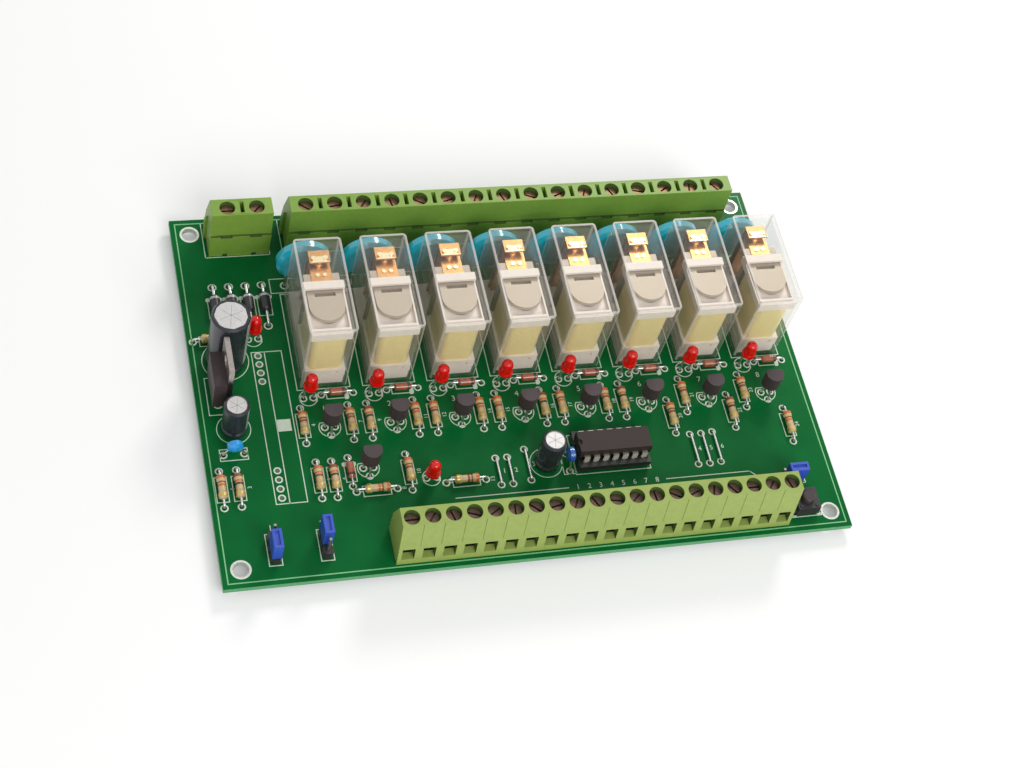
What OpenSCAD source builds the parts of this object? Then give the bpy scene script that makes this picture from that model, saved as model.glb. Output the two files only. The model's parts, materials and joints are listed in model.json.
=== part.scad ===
// Eight channel relay board: green laminate with clear-cover relays, clamp terminals and through-hole parts.
// Frame: +X along the long edge, +Y towards the output terminals, +Z up.
// The origin is under the centre of the board, at the tips of the terminal pins.

/* [Board] */
// Length of the board along X
board_w = 160; // [160:1:180]
// Depth of the board along Y
board_d = 107; // [105:1:116]
// Thickness of the laminate
board_t = 1.6; // [1.2:0.2:2.4]
// Diameter of the four mounting holes
mount_hole_d = 4; // [2.6:0.1:4.4]
// Distance of each mounting hole from both edges
mount_inset = 4.75; // [4.5:0.25:5.5]
// How far the terminal pins stand out under the board
pin_drop = 2; // [1.8:0.1:3]
// How far the trimmed leads stand out under the board
lead_drop = 1.5; // [1.2:0.1:1.7]
// Height of a solder fillet
solder_h = 1.1; // [0.6:0.1:1.1]

/* [Leads] */
// Radius of thin component leads
thin_r = 0.3; // [0.25:0.05:0.35]
// Radius of relay, terminal and other heavy pins
pin_r = 0.45; // [0.4:0.05:0.5]
// Radial clearance of a lead in its drilled hole
hole_gap = 0.15; // [0.1:0.05:0.2]
// Width of the copper ring round a drilled hole
ring_w = 0.4; // [0.3:0.05:0.4]

/* [Relays] */
// Distance between relay centres
relay_pitch = 16.64; // [16.5:0.02:16.8]
// Centre of the relay row along X
relay_row_x = 10.3; // [9.8:0.1:10.6]
// Front face of the relays along Y
relay_y = -0.4; // [-0.6:0.1:0.4]
// Width of a relay cover
relay_w = 12; // [11.8:0.1:12.6]
// Length of a relay cover
relay_l = 28.2; // [28.2:0.1:28.8]
// Height of a relay cover
relay_h = 24.4; // [24.4:0.1:26]
// Wall of the clear cover
cover_wall = 0.8; // [0.6:0.1:0.9]
// Outer corner radius of the cover
cover_r = 1; // [0.9:0.1:1.5]
// Free travel of the armature at its hinge, in degrees
armature_travel = 2.5; // [1.5:0.1:2.8]
// Thickness of the armature plate
armature_t = 1.1; // [0.9:0.1:1.1]
// Height of the coil winding
coil_h = 13.3; // [12:0.1:13.3]

/* [Output and supply terminals] */
// Distance between poles
out_pitch = 7.5; // [7.4:0.02:7.62]
// Height of the housing
out_h = 16.2; // [15.8:0.1:17]
// Depth of the housing at its foot
out_d = 10.6; // [10.4:0.1:11.4]
// Distance of the housing's foot from the rear edge of the board
out_inset = 1.5; // [1:0.1:2]
// Centre of the sixteen output poles along X
output_x = 9.1; // [8.8:0.1:9.5]
// Centre of the two supply poles along X
supply_x = -63.4; // [-64:0.1:-63]

/* [Input terminal] */
// Distance between poles
in_pitch = 5.08; // [5:0.02:5.1]
// Height of the housing
in_h = 14.5; // [14.2:0.1:15.5]
// Depth of the housing at its foot
in_d = 10.1; // [9.9:0.1:10.6]
// Distance of the housing's foot from the front edge of the board
in_inset = 1.9; // [1.2:0.1:2.2]
// Centre of the twenty input poles along X
input_x = 12.2; // [12:0.1:12.6]

/* [Clamps] */
// Radius of a clamp screw's head
screw_r = 1.75; // [1.6:0.05:1.8]
// Radial gap between a screw head and its well
well_gap = 0.2; // [0.1:0.05:0.25]
// How far a screw head lies under the housing's top
screw_sink = 1.4; // [0.5:0.1:1.8]
// Wall of a wire clamp
clamp_wall = 0.7; // [0.6:0.05:0.8]

/* [Small parts] */
// Distance between the leads of a resistor
resistor_span = 10.16; // [9.8:0.02:10.5]
// Length of a resistor's body
resistor_l = 6.3; // [6:0.1:6.8]
// Diameter of a resistor's end caps
resistor_d = 2.3; // [2:0.1:2.5]
// Diameter of an indicator lamp
led_d = 3; // [2.8:0.1:3.1]
// Height of a lamp's body above the board
led_lift = 5.4; // [4:0.1:5.8]
// Diameter of a varistor's disc
varistor_d = 14; // [12:0.2:14.4]
// Thickness of a varistor's disc
varistor_t = 3.4; // [3:0.1:4.2]
// Diameter of the smoothing capacitor
big_cap_d = 9.6; // [8:0.1:9.8]
// Height of the smoothing capacitor
big_cap_h = 20; // [16:0.5:22]
// Diameter of the two small capacitors
small_cap_d = 6.3; // [5:0.1:6.5]
// Height of the two small capacitors
small_cap_h = 11; // [9:0.5:12]
// Distance between two pins of a jumper, a socket or a header
grid = 2.54; // [2.5:0.02:2.56]
// Height of a jumper shunt
shunt_h = 6; // [5.5:0.1:6.5]
// Side of the square test switch
switch_w = 6; // [5.8:0.1:6.2]
// Travel of the test button
button_travel = 0.3; // [0.2:0.05:0.4]

/* [Hidden] */
$fn = 48;

channels = 8;
out_poles = 16;
supply_poles = 2;
in_poles = 20;
top_z = pin_drop + board_t;              // upper face of the board
under = board_t;                         // depth of the lower face under the upper one
rear_y = board_d / 2 - out_inset;        // foot of the output terminal on the wire side
front_y = -board_d / 2 + in_inset;       // foot of the input terminal on the wire side
touch = 0.03;                            // gap between pieces that seat on each other
over = 0.01;                             // overlap inside a fused piece

// Places of the parts in one channel, from the relay's centre line
led_dx = -4.3;
led_y = -3.4;
diode_dx = 3.1;
diode_y = -2.7;
transistor_dx = -0.3;
transistor_y = -12.2;
left_resistor_dx = -6.8;
resistor_y = -11.2;
varistor_dx = -1.4;
varistor_y = relay_y + relay_l + 3.2;
varistor_z = 10.9;
right_resistor_dx = [5.1, 5.1, 5.1, 5.1, 5.1, 5.1, 5.1, 3];
right_resistor_dy = [0, 0, 0, 0, 0, -6, -5.8, -11.4];

function channel_x(k) = relay_row_x + (k - (channels - 1) / 2) * relay_pitch;
function row_x(centre, count, pitch, i) = centre + (i - (count - 1) / 2) * pitch;
function pair(x, y, span, along_x) =
    along_x ? [[x - span / 2, y], [x + span / 2, y]] : [[x, y - span / 2], [x, y + span / 2]];
function flat1(lists) = [for (list = lists, item = list) item];

// Single parts: centre X, centre Y and whether they lie along X; for the two status lamps, their lift
loose_resistors = [
    [-53.3, -26.8, false], [-49.5, -26.9, false], [-30.9, -26.7, false], [-76.9, -27.1, false],
    [-72.75, -27.1, false], [-39.6, -31, true], [-17.1, -30.7, true], [-73.4, 15.5, true]];
signal_diode = [-45.3, -25.3, false];
small_cap_places = [[-71.8, -10.6], [4.2, -27.6]];
ceramic_places = [[-72.7, -17.7, true], [9.8, -28, false]];
status_led_places = [[-63.4, 15.2, 4.6], [-25.6, -28.9, 2.4]];
loose_transistor = [-40.7, -24.6];
big_cap = [-71.2, 9.3];
regulator = [-74.7, -0.8];
rectifier_x = [-71.6, -67.4, -63.2, -59];
rectifier_y = 25.3;
rectifier_span = 12.7;
module_pads_x = -62.9;
module_pads_y = [6.3, -27];
link_places = [[-8.45, -28.8], [-5.4, -28.8], [-0.6, -27.6], [44, -27.4], [47.1, -27.4], [50.2, -27.2]];
link_span = [7.62, 7.62, 8.9, 8.9, 8.9, 8.9];
ic = [21.2, -26];
ic_pins = 14;
ic_row_span = 7.62;
headers = [[-66.9, front_y + 7.2, false], [-54.5, front_y + 7.2, false], [65.6, front_y + 11.9, true]];
shunt_shift = [-0.5, 0.5, 0.5];          // which two of the three pins a shunt bridges, in steps of the grid
switch_at = [68.6, front_y + 5.4];
switch_legs = [6.5, 4.5];

resistors_at = concat(
    [for (k = [0:channels - 1]) [channel_x(k) + left_resistor_dx, resistor_y, false]],
    [for (k = [0:channels - 1])
        [channel_x(k) + right_resistor_dx[k], resistor_y + right_resistor_dy[k], false]],
    loose_resistors);
glass_diode_span = 8.1;
glass_diodes_at = concat(
    [for (k = [0:channels - 1]) [channel_x(k) + diode_dx, diode_y, true]], [signal_diode]);
transistors_at = concat(
    [for (k = [0:channels - 1]) [channel_x(k) + transistor_dx, transistor_y]], [loose_transistor]);
leds_at = [for (k = [0:channels - 1]) [channel_x(k) + led_dx, led_y]];
led_span = grid;
transistor_legs = [[-1.27, 0], [1.27, 0], [0, -2.3]];
varistor_span = 7.5;
big_cap_span = 5;
small_cap_span = 2.5;
ceramic_span = 5.08;
ceramic_d = 3.9;
ceramic_t = 2.2;
ceramic_z = 4;
led_body_h = 3.4;
regulator_legs = [-grid, 0, grid];

// Relay interior, from the front face of the cover, the centre line and the top of the board
relay_fit = 0.2;                          // gap between cover and base
base_z = 0.2;
base_top = 3.2;
yoke_t = 1.2;
flange_z = base_top + yoke_t;
winding_z = flange_z + 1.7;
coil_top = winding_z + coil_h;
flange_top = coil_top + 1;
coil_y = 8.1;
coil_size = [8.8, 13.4];
barrel_size = [6, 7];
core_r = 2.3;
core_head_r = 2.9;
tray_half = relay_w / 2 - cover_wall - 0.15;
tray_wall = 0.45;
yoke_half = tray_half - 0.85;
yoke_y = 15.6;
yoke_back = 17.1;
armature_z = flange_top + 0.05 - touch;   // underside of the armature when it is drawn in
armature_half = tray_half - tray_wall - 0.15;
armature_front = 5;
armature_back = 19.4;
leaf_t = 0.25;
leaf_half = 2.6;
contact_y = relay_l - 5.3;
leaf_back = contact_y + 1.5;
contact_r = 1.3;
contact_h = 0.45;
strip_t = 0.5;
leaf_z = armature_z + armature_t;
bar_y = [14.2, 16.4];                     // white bar over the hinge
bar_top = leaf_z + leaf_t + 0.93;
slot_half = 2.6;                          // slot in the armature and the flange, in front of the bar
slot_y = [bar_y[0] - 1.8, bar_y[0] - 0.6];
closed_blade = [-1.5, contact_y + 2.05];  // normally open contact's pin
resting_blade = [1.5, contact_y + 1.05];  // normally closed contact's pin
common_pin = [0, (yoke_y + yoke_back) / 2];
coil_pin_x = 3.4;
coil_pin_y = 3;
contact_drop = (contact_y - yoke_back + contact_r) * sin(armature_travel);
open_strip_z = leaf_z + leaf_t + contact_h + touch;
rest_strip_z = leaf_z - contact_h - contact_drop - touch - contact_h - strip_t;
relay_pin_places = [closed_blade, resting_blade, common_pin,
    [-coil_pin_x, coil_pin_y], [coil_pin_x, coil_pin_y]];

// Terminal sections in Y and Z, from the foot of the inner face or of the wire face
out_profile = [[0, 0], [0, out_h / 2], [0.4, out_h / 2], [0.8, out_h], [out_d - 4.7, out_h],
    [out_d - 1.4, 8], [out_d, 1.2], [out_d, 0]];
out_screw_y = 3.2;
out_pocket = [5, 6.2, 9];
out_entry = [3.8, 5];
in_profile = [[0, 0], [1, 6.6], [2.4, in_h], [in_d - 2.6, in_h], [in_d, 7.5], [in_d, 0]];
in_screw_y = 4.8;
in_pocket = [3.9, 5, 8];
in_entry = [3.1, 4];
pocket_gap = 0.1;

// ---- helpers ----

module rounded_rect(size, r) {
    square([size[0] - 2 * r, size[1]], center = true);
    square([size[0], size[1] - 2 * r], center = true);
    for (x = [-1, 1], y = [-1, 1])
        translate([x * (size[0] / 2 - r), y * (size[1] / 2 - r)])
            circle(r = r);
}

module on_board() {
    translate([0, 0, top_z])
        children();
}

module block(x, y, z) {
    translate([x[0], y[0], z[0]])
        cube([x[1] - x[0], y[1] - y[0], z[1] - z[0]]);
}

// Side section drawn in Y and Z, extruded along X over a width centred on x = 0
module side_extrude(width) {
    translate([-width / 2, 0, 0])
        rotate([90, 0, 90])
            linear_extrude(width)
                children();
}

// Straight lead from its trimmed tip to the height top
module lead(at, top, r = thin_r, drop = lead_drop) {
    translate([at[0], at[1], -under - drop])
        cylinder(r = r, h = under + drop + top);
}

// Round rod between two points
module rod(from, to, r) {
    d = to - from;
    len = norm(d);
    translate(from)
        rotate([0, acos(d[2] / len), atan2(d[1], d[0])])
            cylinder(r = r, h = len);
}

// Two bent leads and the body of an axial part, which lies along X at the height lift
module axial(span, body_l, lift, r = thin_r) {
    bend = 2.5 * r;
    translate([0, 0, lift])
        rotate([0, 90, 0])
            children();
    for (side = [0, 180])
        rotate([0, 0, side]) {
            translate([body_l / 2 - 0.2, 0, lift])
                rotate([0, 90, 0])
                    cylinder(r = r, h = span / 2 - bend - body_l / 2 + 0.2);
            translate([span / 2 - bend, 0, lift - bend])
                rotate([90, 0, 0])
                    rotate_extrude(angle = 90)
                        translate([bend, 0])
                            circle(r = r);
            lead([span / 2, 0], lift - bend, r);
        }
}

module turned(at) {
    translate([at[0], at[1], 0])
        rotate([0, 0, at[2] ? 0 : 90])
            children();
}

module pole_row(centre, count, pitch) {
    for (i = [0:count - 1])
        translate([row_x(centre, count, pitch, i), 0, 0])
            children();
}

// ---- leads and drilled holes ----

function relay_pins() = [for (k = [0:channels - 1], p = relay_pin_places) [channel_x(k) + p[0], relay_y + p[1]]];
function terminal_pins_at() = concat(
    [for (i = [0:out_poles - 1]) [row_x(output_x, out_poles, out_pitch, i), rear_y - out_d + out_pin_y]],
    [for (i = [0:supply_poles - 1]) [row_x(supply_x, supply_poles, out_pitch, i), rear_y - out_d + out_pin_y]],
    [for (i = [0:in_poles - 1]) [row_x(input_x, in_poles, in_pitch, i), front_y + in_pin_y]]);
out_pin_y = out_screw_y + 0.6;
in_pin_y = in_screw_y + 0.4;

function socket_pins() = [for (i = [0:ic_pins / 2 - 1], s = [-1, 1])
    [ic[0] + (i - (ic_pins / 2 - 1) / 2) * grid, ic[1] + s * ic_row_span / 2]];
function header_step(h, i) = h[2] ? [i * grid, 0] : [0, i * grid];
function header_pins_at() = [for (h = headers, i = [-1:1]) [h[0], h[1]] + header_step(h, i)];
function switch_leads() = [for (x = [-1, 1], y = [-1, 1])
    [switch_at[0] + x * switch_legs[0] / 2, switch_at[1] + y * switch_legs[1] / 2]];

thin_holes = concat(
    flat1([for (p = resistors_at) pair(p[0], p[1], resistor_span, p[2])]),
    flat1([for (p = glass_diodes_at) pair(p[0], p[1], glass_diode_span, p[2])]),
    flat1([for (p = concat(leds_at, status_led_places)) pair(p[0], p[1], led_span, true)]),
    flat1([for (p = transistors_at) [for (l = transistor_legs) p + l]]),
    flat1([for (p = small_cap_places) pair(p[0], p[1], small_cap_span, true)]),
    flat1([for (p = ceramic_places) pair(p[0], p[1], ceramic_span, p[2])]),
    flat1([for (i = [0:len(link_places) - 1]) pair(link_places[i][0], link_places[i][1], link_span[i], false)]),
    pair(big_cap[0], big_cap[1], big_cap_span, true),
    socket_pins(),
    switch_leads());
pin_holes = concat(
    relay_pins(),
    terminal_pins_at(),
    flat1([for (x = rectifier_x) pair(x, rectifier_y, rectifier_span, false)]),
    flat1([for (k = [0:channels - 1]) pair(channel_x(k) + varistor_dx, varistor_y, varistor_span, true)]),
    [for (y = regulator_legs) [regulator[0], regulator[1] + y]],
    header_pins_at());
empty_holes = [for (y = module_pads_y, i = [-1.5:1.5]) [module_pads_x, y + i * grid]];

// ---- board ----

module pcb() {
    color("#0b6b33")
        translate([0, 0, pin_drop])
            linear_extrude(board_t)
                difference() {
                    square([board_w, board_d], center = true);
                    for (x = [-1, 1], y = [-1, 1])
                        translate([x * (board_w / 2 - mount_inset), y * (board_d / 2 - mount_inset)])
                            circle(d = mount_hole_d);
                    for (p = concat(thin_holes, empty_holes))
                        translate(p)
                            circle(r = thin_r + hole_gap, $fn = 24);
                    for (p = pin_holes)
                        translate(p)
                            circle(r = pin_r + hole_gap, $fn = 24);
                }
}

// One fillet: a ring with a hollow slope, under the board
module fillet(r) {
    inner = r + touch;
    outer = r + hole_gap + ring_w;
    rotate_extrude($fn = 24)
        polygon([[inner, 0], [outer, 0], [(inner + outer) / 2, -solder_h * 0.45], [inner, -solder_h]]);
}

module solder_joints() {
    color("#c9ccce")
        translate([0, 0, pin_drop]) {
            for (p = thin_holes)
                translate(p)
                    fillet(thin_r);
            for (p = pin_holes)
                translate(p)
                    fillet(pin_r);
        }
}

// ---- clamp terminals ----

// A screw's stepped well, with its mouth in the housing's top
module screw_well(top, pocket_top, shank_r) {
    floor_z = top - screw_sink - 1.6;
    translate([0, 0, floor_z])
        cylinder(r = screw_r + well_gap, h = top - floor_z + over);
    translate([0, 0, pocket_top - over])
        cylinder(r = shank_r + well_gap, h = floor_z - pocket_top + 2 * over);
}

module out_housing(centre, poles) {
    width = poles * out_pitch + 0.6;
    rail = [0.6, 2];
    color("#6d9a33")
        on_board()
            translate([centre, rear_y - out_d, 0])
                difference() {
                    union() {
                        side_extrude(width)
                            polygon(out_profile);
                        translate([-width / 2 - rail[0] / 2 + over, out_d - 4.6, 0])
                            side_extrude(rail[0])
                                polygon([[0, 0], [0, 9.5], [rail[1], 6.5], [rail[1], 0]]);
                    }
                    translate([width / 2 - rail[0] / 2 + over, out_d - 4.8, 0])
                        side_extrude(rail[0] + 0.1)
                            polygon([[0, -1], [0, 10.5], [rail[1] + 0.4, 7], [rail[1] + 0.4, -1]]);
                    pole_row(0, poles, out_pitch) {
                        translate([0, out_screw_y, 0])
                            screw_well(out_h, out_pocket[2], screw_r - 0.4);
                        translate([-out_pocket[0] / 2, 0.8, -over])
                            cube([out_pocket[0], out_pocket[1], out_pocket[2] + over]);
                        translate([0, 4, 2])
                            side_extrude(out_entry[0])
                                polygon([[0, 0], [out_d, -0.6], [out_d, out_entry[1] + 0.4], [0, out_entry[1]]]);
                        translate([-1.5, -over, out_h / 2 - 0.55])
                            cube([3, 0.6, 0.8]);
                        translate([-0.6, -over, -over])
                            cube([1.2, 0.6, 1.1]);
                    }
                    pole_row(0, poles - 1, out_pitch)
                        translate([-0.5, 1.6, out_h - 4])
                            cube([1, 3.4, 4 + over]);
                }
}

module supply_terminal_housing() {
    out_housing(supply_x, supply_poles);
}

module output_terminal_housing() {
    out_housing(output_x, out_poles);
}

module input_terminal_housing() {
    width = in_poles * in_pitch;
    color("#a3b862")
        on_board()
            translate([input_x, front_y, 0])
                difference() {
                    side_extrude(width)
                        polygon(in_profile);
                    pole_row(0, in_poles, in_pitch) {
                        translate([0, in_screw_y, 0])
                            screw_well(in_h, in_pocket[2], screw_r - 0.45);
                        translate([-in_pocket[0] / 2, in_screw_y - in_pocket[1] / 2, -over])
                            cube([in_pocket[0], in_pocket[1], in_pocket[2] + over]);
                        translate([0, -1, 1.7])
                            side_extrude(in_entry[0])
                                polygon([[0, 0], [4, 0], [4, in_entry[1] - 0.2], [0, in_entry[1]]]);
                    }
                    pole_row(0, in_poles - 1, in_pitch)
                        side_extrude(0.14)
                            polygon([[0, 6.7], [1.15, 6.7], [2.6, in_h], [2.6, in_h + 1], [0, in_h + 1]]);
                }
}

// Slotted clamp screw with its head's top at z = 0, slot turned by angle
module clamp_screw(length, shank_r, angle) {
    difference() {
        union() {
            translate([0, 0, -1.5])
                cylinder(r = screw_r, h = 1.5);
            translate([0, 0, -length])
                cylinder(r = shank_r, h = length - 1.4);
        }
        rotate([0, 0, angle])
            translate([-screw_r - over, -0.25, -0.7])
                cube([2 * screw_r + 2 * over, 0.5, 1]);
    }
}

module power_terminal_screws() {
    color("#b08060")
        on_board()
            for (block = [[supply_x, supply_poles, 0], [output_x, out_poles, 3]], i = [0:block[1] - 1])
                translate([row_x(block[0], block[1], out_pitch, i), rear_y - out_d + out_screw_y, out_h - screw_sink])
                    clamp_screw(out_h - screw_sink - 5.4, screw_r - 0.4, (i + block[2]) * 47 % 180);
}

module input_terminal_screws() {
    color("#6b4a40")
        on_board()
            for (i = [0:in_poles - 1])
                translate([row_x(input_x, in_poles, in_pitch, i), front_y + in_screw_y, in_h - screw_sink])
                    clamp_screw(in_h - screw_sink - 5, screw_r - 0.45, i * 53 % 180);
}

// Lift clamp: a square ring open along Y, with a clearance hole for the screw in its top
module clamp(size, z, shank_r) {
    difference() {
        translate([0, 0, z + size[2] / 2])
            cube(size, center = true);
        translate([0, 0, z + size[2] / 2 - 0.3])
            cube([size[0] - 2 * clamp_wall, size[1] + 1, size[2] - 2 * clamp_wall - 0.6], center = true);
        translate([0, 0, z + size[2] / 2])
            cylinder(r = shank_r + 0.05, h = size[2]);
    }
}

module terminal_clamps() {
    out_size = [out_pocket[0] - 2 * pocket_gap, out_pocket[1] - 1.6, out_pocket[2] - 1.8];
    in_size = [in_pocket[0] - 2 * pocket_gap, in_pocket[1] - 1, in_pocket[2] - 1.6];
    color("#b9bcc0")
        on_board() {
            for (block = [[supply_x, supply_poles], [output_x, out_poles]])
                pole_row(block[0], block[1], out_pitch)
                    translate([0, rear_y - out_d + out_screw_y, 0])
                        clamp(out_size, 1.2, screw_r - 0.4);
            pole_row(input_x, in_poles, in_pitch)
                translate([0, front_y + in_screw_y, 0])
                    clamp(in_size, 1, screw_r - 0.45);
        }
}

// Pin whose flat foot lies in the housing's pocket, under the clamp
module foot_pin(width, reach, foot_z) {
    lead([0, 0], foot_z + 0.2, pin_r, pin_drop);
    translate([-width / 2, -reach, foot_z])
        cube([width, 2 * reach, 0.5]);
}

module terminal_pins() {
    color("#c4c6c8")
        on_board() {
            for (block = [[supply_x, supply_poles], [output_x, out_poles]])
                pole_row(block[0], block[1], out_pitch)
                    translate([0, rear_y - out_d + out_pin_y, 0])
                        foot_pin(3, 1.9, 0.5);
            pole_row(input_x, in_poles, in_pitch)
                translate([0, front_y + in_pin_y, 0])
                    foot_pin(2, 1.5, 0.4);
        }
}

// ---- relays ----

module at_relay(k) {
    on_board()
        translate([channel_x(k), relay_y, 0])
            children();
}

module relay_cover(k) {
    inner = [relay_w - 2 * cover_wall, relay_l - 2 * cover_wall];
    color("#dfe6e6", 0.35)
        at_relay(k)
            translate([0, relay_l / 2, 0])
                difference() {
                    linear_extrude(relay_h)
                        rounded_rect([relay_w, relay_l], cover_r);
                    translate([0, 0, -over])
                        linear_extrude(relay_h - cover_wall + over)
                            rounded_rect(inner, cover_r - cover_wall + 0.1);
                }
}

module relay_base(k) {
    size = [relay_w - 2 * cover_wall - 2 * relay_fit, relay_l - 2 * cover_wall - 2 * relay_fit];
    color("#e9e4dc")
        at_relay(k)
            difference() {
                translate([0, relay_l / 2, base_z])
                    linear_extrude(base_top - base_z)
                        rounded_rect(size, 0.4);
                for (p = relay_pin_places)
                    translate([p[0], p[1], 0])
                        cylinder(r = pin_r + 0.1, h = base_top + 1);
            }
}

// Moulded bobbin: apron and lower flange, barrel, upper tray with its side walls, two ridges and a rear bar
module bobbin() {
    front = cover_wall + relay_fit;
    wall = tray_wall;
    difference() {
        union() {
            block([-tray_half, tray_half], [front, yoke_y - 0.3], [flange_z, winding_z]);
            block([-tray_half, tray_half], [front, front + 1], [base_top, flange_z + over]);
            translate([0, coil_y, winding_z - over])
                linear_extrude(coil_h + 2 * over)
                    rounded_rect(barrel_size, 1.5);
            block([-tray_half, tray_half], [front, yoke_y - 0.3], [coil_top, flange_top]);
            for (s = [-1, 1])
                translate([s * (tray_half - wall / 2), 0, 0])
                    block([-wall / 2, wall / 2], [front, yoke_back], [coil_top, flange_top + 1]);
            for (ridge = [[front, front + 0.7, 1.6], [front + 1.6, front + 2.2, 1.1]])
                block([-tray_half, tray_half], [ridge[0], ridge[1]], [flange_top - over, flange_top + ridge[2]]);
            for (s = [-1, 1])
                translate([s * (tray_half - wall / 2), 0, 0])
                    block([-wall / 2, wall / 2], bar_y, [flange_top + 0.9, bar_top]);
            block([-tray_half, tray_half], bar_y, [bar_top - 0.7, bar_top]);
        }
        translate([0, coil_y, flange_z - over])
            cylinder(r = core_r + touch, h = coil_top);
        translate([0, coil_y, coil_top])
            cylinder(r = core_head_r + touch, h = 2);
        block([-slot_half, slot_half], slot_y, [coil_top - over, flange_top + over]);
        translate([2.9, front - over, (base_top + winding_z) / 2])
            rotate([-90, 0, 0])
                cylinder(r = 0.5, h = 0.8);
    }
}

module relay_bobbins() {
    color("#efebe4")
        for (k = [0:channels - 1])
            at_relay(k)
                bobbin();
}

module relay_coils() {
    color("#d8c27a")
        for (k = [0:channels - 1])
            at_relay(k)
                translate([0, coil_y, winding_z + touch])
                    linear_extrude(coil_h - 2 * touch)
                        difference() {
                            rounded_rect(coil_size, 1.6);
                            rounded_rect(barrel_size + [0.1, 0.1], 1.5);
                        }
}

// Yoke bent to an L, with the core riveted in its foot and the common pin below
module relay_yokes() {
    color("#8d8a85")
        for (k = [0:channels - 1])
            at_relay(k) {
                block([-yoke_half, yoke_half], [coil_pin_y + 1.4, yoke_back], [base_top, flange_z - touch]);
                block([-yoke_half, yoke_half], [yoke_y, yoke_back], [base_top, armature_z - touch]);
                translate([0, coil_y, base_top])
                    cylinder(r = core_r, h = coil_top - base_top + 0.2);
                translate([0, coil_y, coil_top + touch])
                    cylinder(r = core_head_r, h = armature_z - touch - coil_top - touch);
                lead(common_pin, base_top + over, pin_r);
            }
}

// Pivot of the armature: the upper rear edge of the yoke
armature_pivot = [0, yoke_back, armature_z];

module armature_drawn_in() {
    color("#b3a89a")
        translate([0, 0, armature_z])
            linear_extrude(armature_t)
                difference() {
                    union() {
                        translate([-armature_half, armature_front + armature_half])
                            square([2 * armature_half, armature_back - armature_front - armature_half]);
                        translate([0, armature_front + armature_half])
                            circle(r = armature_half);
                    }
                    translate([-slot_half, slot_y[0]])
                        square([2 * slot_half, slot_y[1] - slot_y[0]]);
                }
    color("#b87a4b") {
        block([-leaf_half, leaf_half], [yoke_y + 0.7, leaf_back], [leaf_z - over, leaf_z + leaf_t]);
        for (s = [-1, 1])
            translate([s * 0.9, armature_back - 0.65, leaf_z])
                cylinder(r = 0.55, h = leaf_t + 0.25);
    }
    color("#d9d7d0")
        translate([0, contact_y, leaf_z - contact_h])
            cylinder(r = contact_r, h = leaf_t + 2 * contact_h);
}

module relay_armature(k) {
    at_relay(k)
        translate(armature_pivot)
            rotate([-armature_travel, 0, 0])
                translate(-armature_pivot)
                    armature_drawn_in();
}

// Fixed contact: a blade that stands on the base and bends forward over or under the moving contact
module fixed_contact(at, half, strip_z, face_up) {
    blade = [at[1] - strip_t / 2, at[1] + strip_t / 2];
    block([-half, half], blade, [base_top, strip_z + strip_t]);
    block([-half, half], [contact_y - contact_r, blade[1]], [strip_z, strip_z + strip_t]);
    lead(at, base_top + over, pin_r);
    translate([0, contact_y, face_up ? strip_z + strip_t - over : strip_z - contact_h])
        cylinder(r = contact_r - 0.1, h = contact_h + over);
    if (!face_up)
        for (s = [-1, 1])
            translate([s * 1.5, contact_y, strip_z + strip_t - over])
                cylinder(r = 0.6, h = 0.3);
}

module relay_contacts() {
    color("#b87a4b")
        for (k = [0:channels - 1])
            at_relay(k) {
                fixed_contact(closed_blade, leaf_half, open_strip_z + contact_h, false);
                fixed_contact(resting_blade, leaf_half - 0.4, rest_strip_z, true);
            }
}

module relay_coil_pins() {
    color("#c4c6c8")
        for (k = [0:channels - 1], s = [-1, 1])
            at_relay(k)
                lead([s * coil_pin_x, coil_pin_y], flange_z - touch, pin_r);
}

// ---- lamps, diodes, transistors and resistors ----

module led(lift) {
    color("#d3141a") {
        translate([0, 0, lift])
            cylinder(r = led_d / 2 + 0.35, h = 0.7);
        translate([0, 0, lift])
            cylinder(r = led_d / 2, h = led_body_h);
        translate([0, 0, lift + led_body_h])
            intersection() {
                sphere(r = led_d / 2);
                translate([0, 0, led_d / 2 - over])
                    cube(led_d + 1, center = true);
            }
    }
    color("#c4c6c8")
        for (p = pair(0, 0, led_span, true))
            lead(p, lift + over);
}

module channel_leds() {
    on_board()
        for (p = leds_at)
            translate(p)
                led(led_lift);
}

module status_leds() {
    on_board()
        for (p = status_led_places)
            translate([p[0], p[1], 0])
                led(p[2]);
}

// Glass body with rounded ends, turned about the lead
module glass_body(d, l) {
    rotate_extrude()
        polygon([[0, -l / 2], [d / 2 - 0.4, -l / 2], [d / 2, -l / 2 + 0.4],
            [d / 2, l / 2 - 0.4], [d / 2 - 0.4, l / 2], [0, l / 2]]);
}

module glass_diodes() {
    color("#b5562e")
        on_board()
            for (p = glass_diodes_at)
                turned(p)
                    axial(glass_diode_span, 4.4, 1.1)
                        glass_body(1.9, 4.4);
}

module rectifier_diodes() {
    color("#1f1d1f")
        on_board()
            for (x = rectifier_x)
                turned([x, rectifier_y, false])
                    axial(rectifier_span, 5.2, 1.5, pin_r - 0.05)
                        glass_body(2.7, 5.2);
}

// Waisted body: two end caps and a thinner middle
module resistor_body() {
    r = resistor_d / 2;
    waist = r - 0.2;
    end = resistor_l / 2;
    rotate_extrude()
        polygon([[0, -end], [r - 0.5, -end], [r, -end + 0.45], [r, -end + 1.3], [waist, -end + 1.9],
            [waist, end - 1.9], [r, end - 1.3], [r, end - 0.45], [r - 0.5, end], [0, end]]);
}

module resistors() {
    color("#cfa878")
        on_board()
            for (p = resistors_at)
                turned(p)
                    axial(resistor_span, resistor_l, resistor_d / 2 + 0.2)
                        resistor_body();
}

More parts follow.
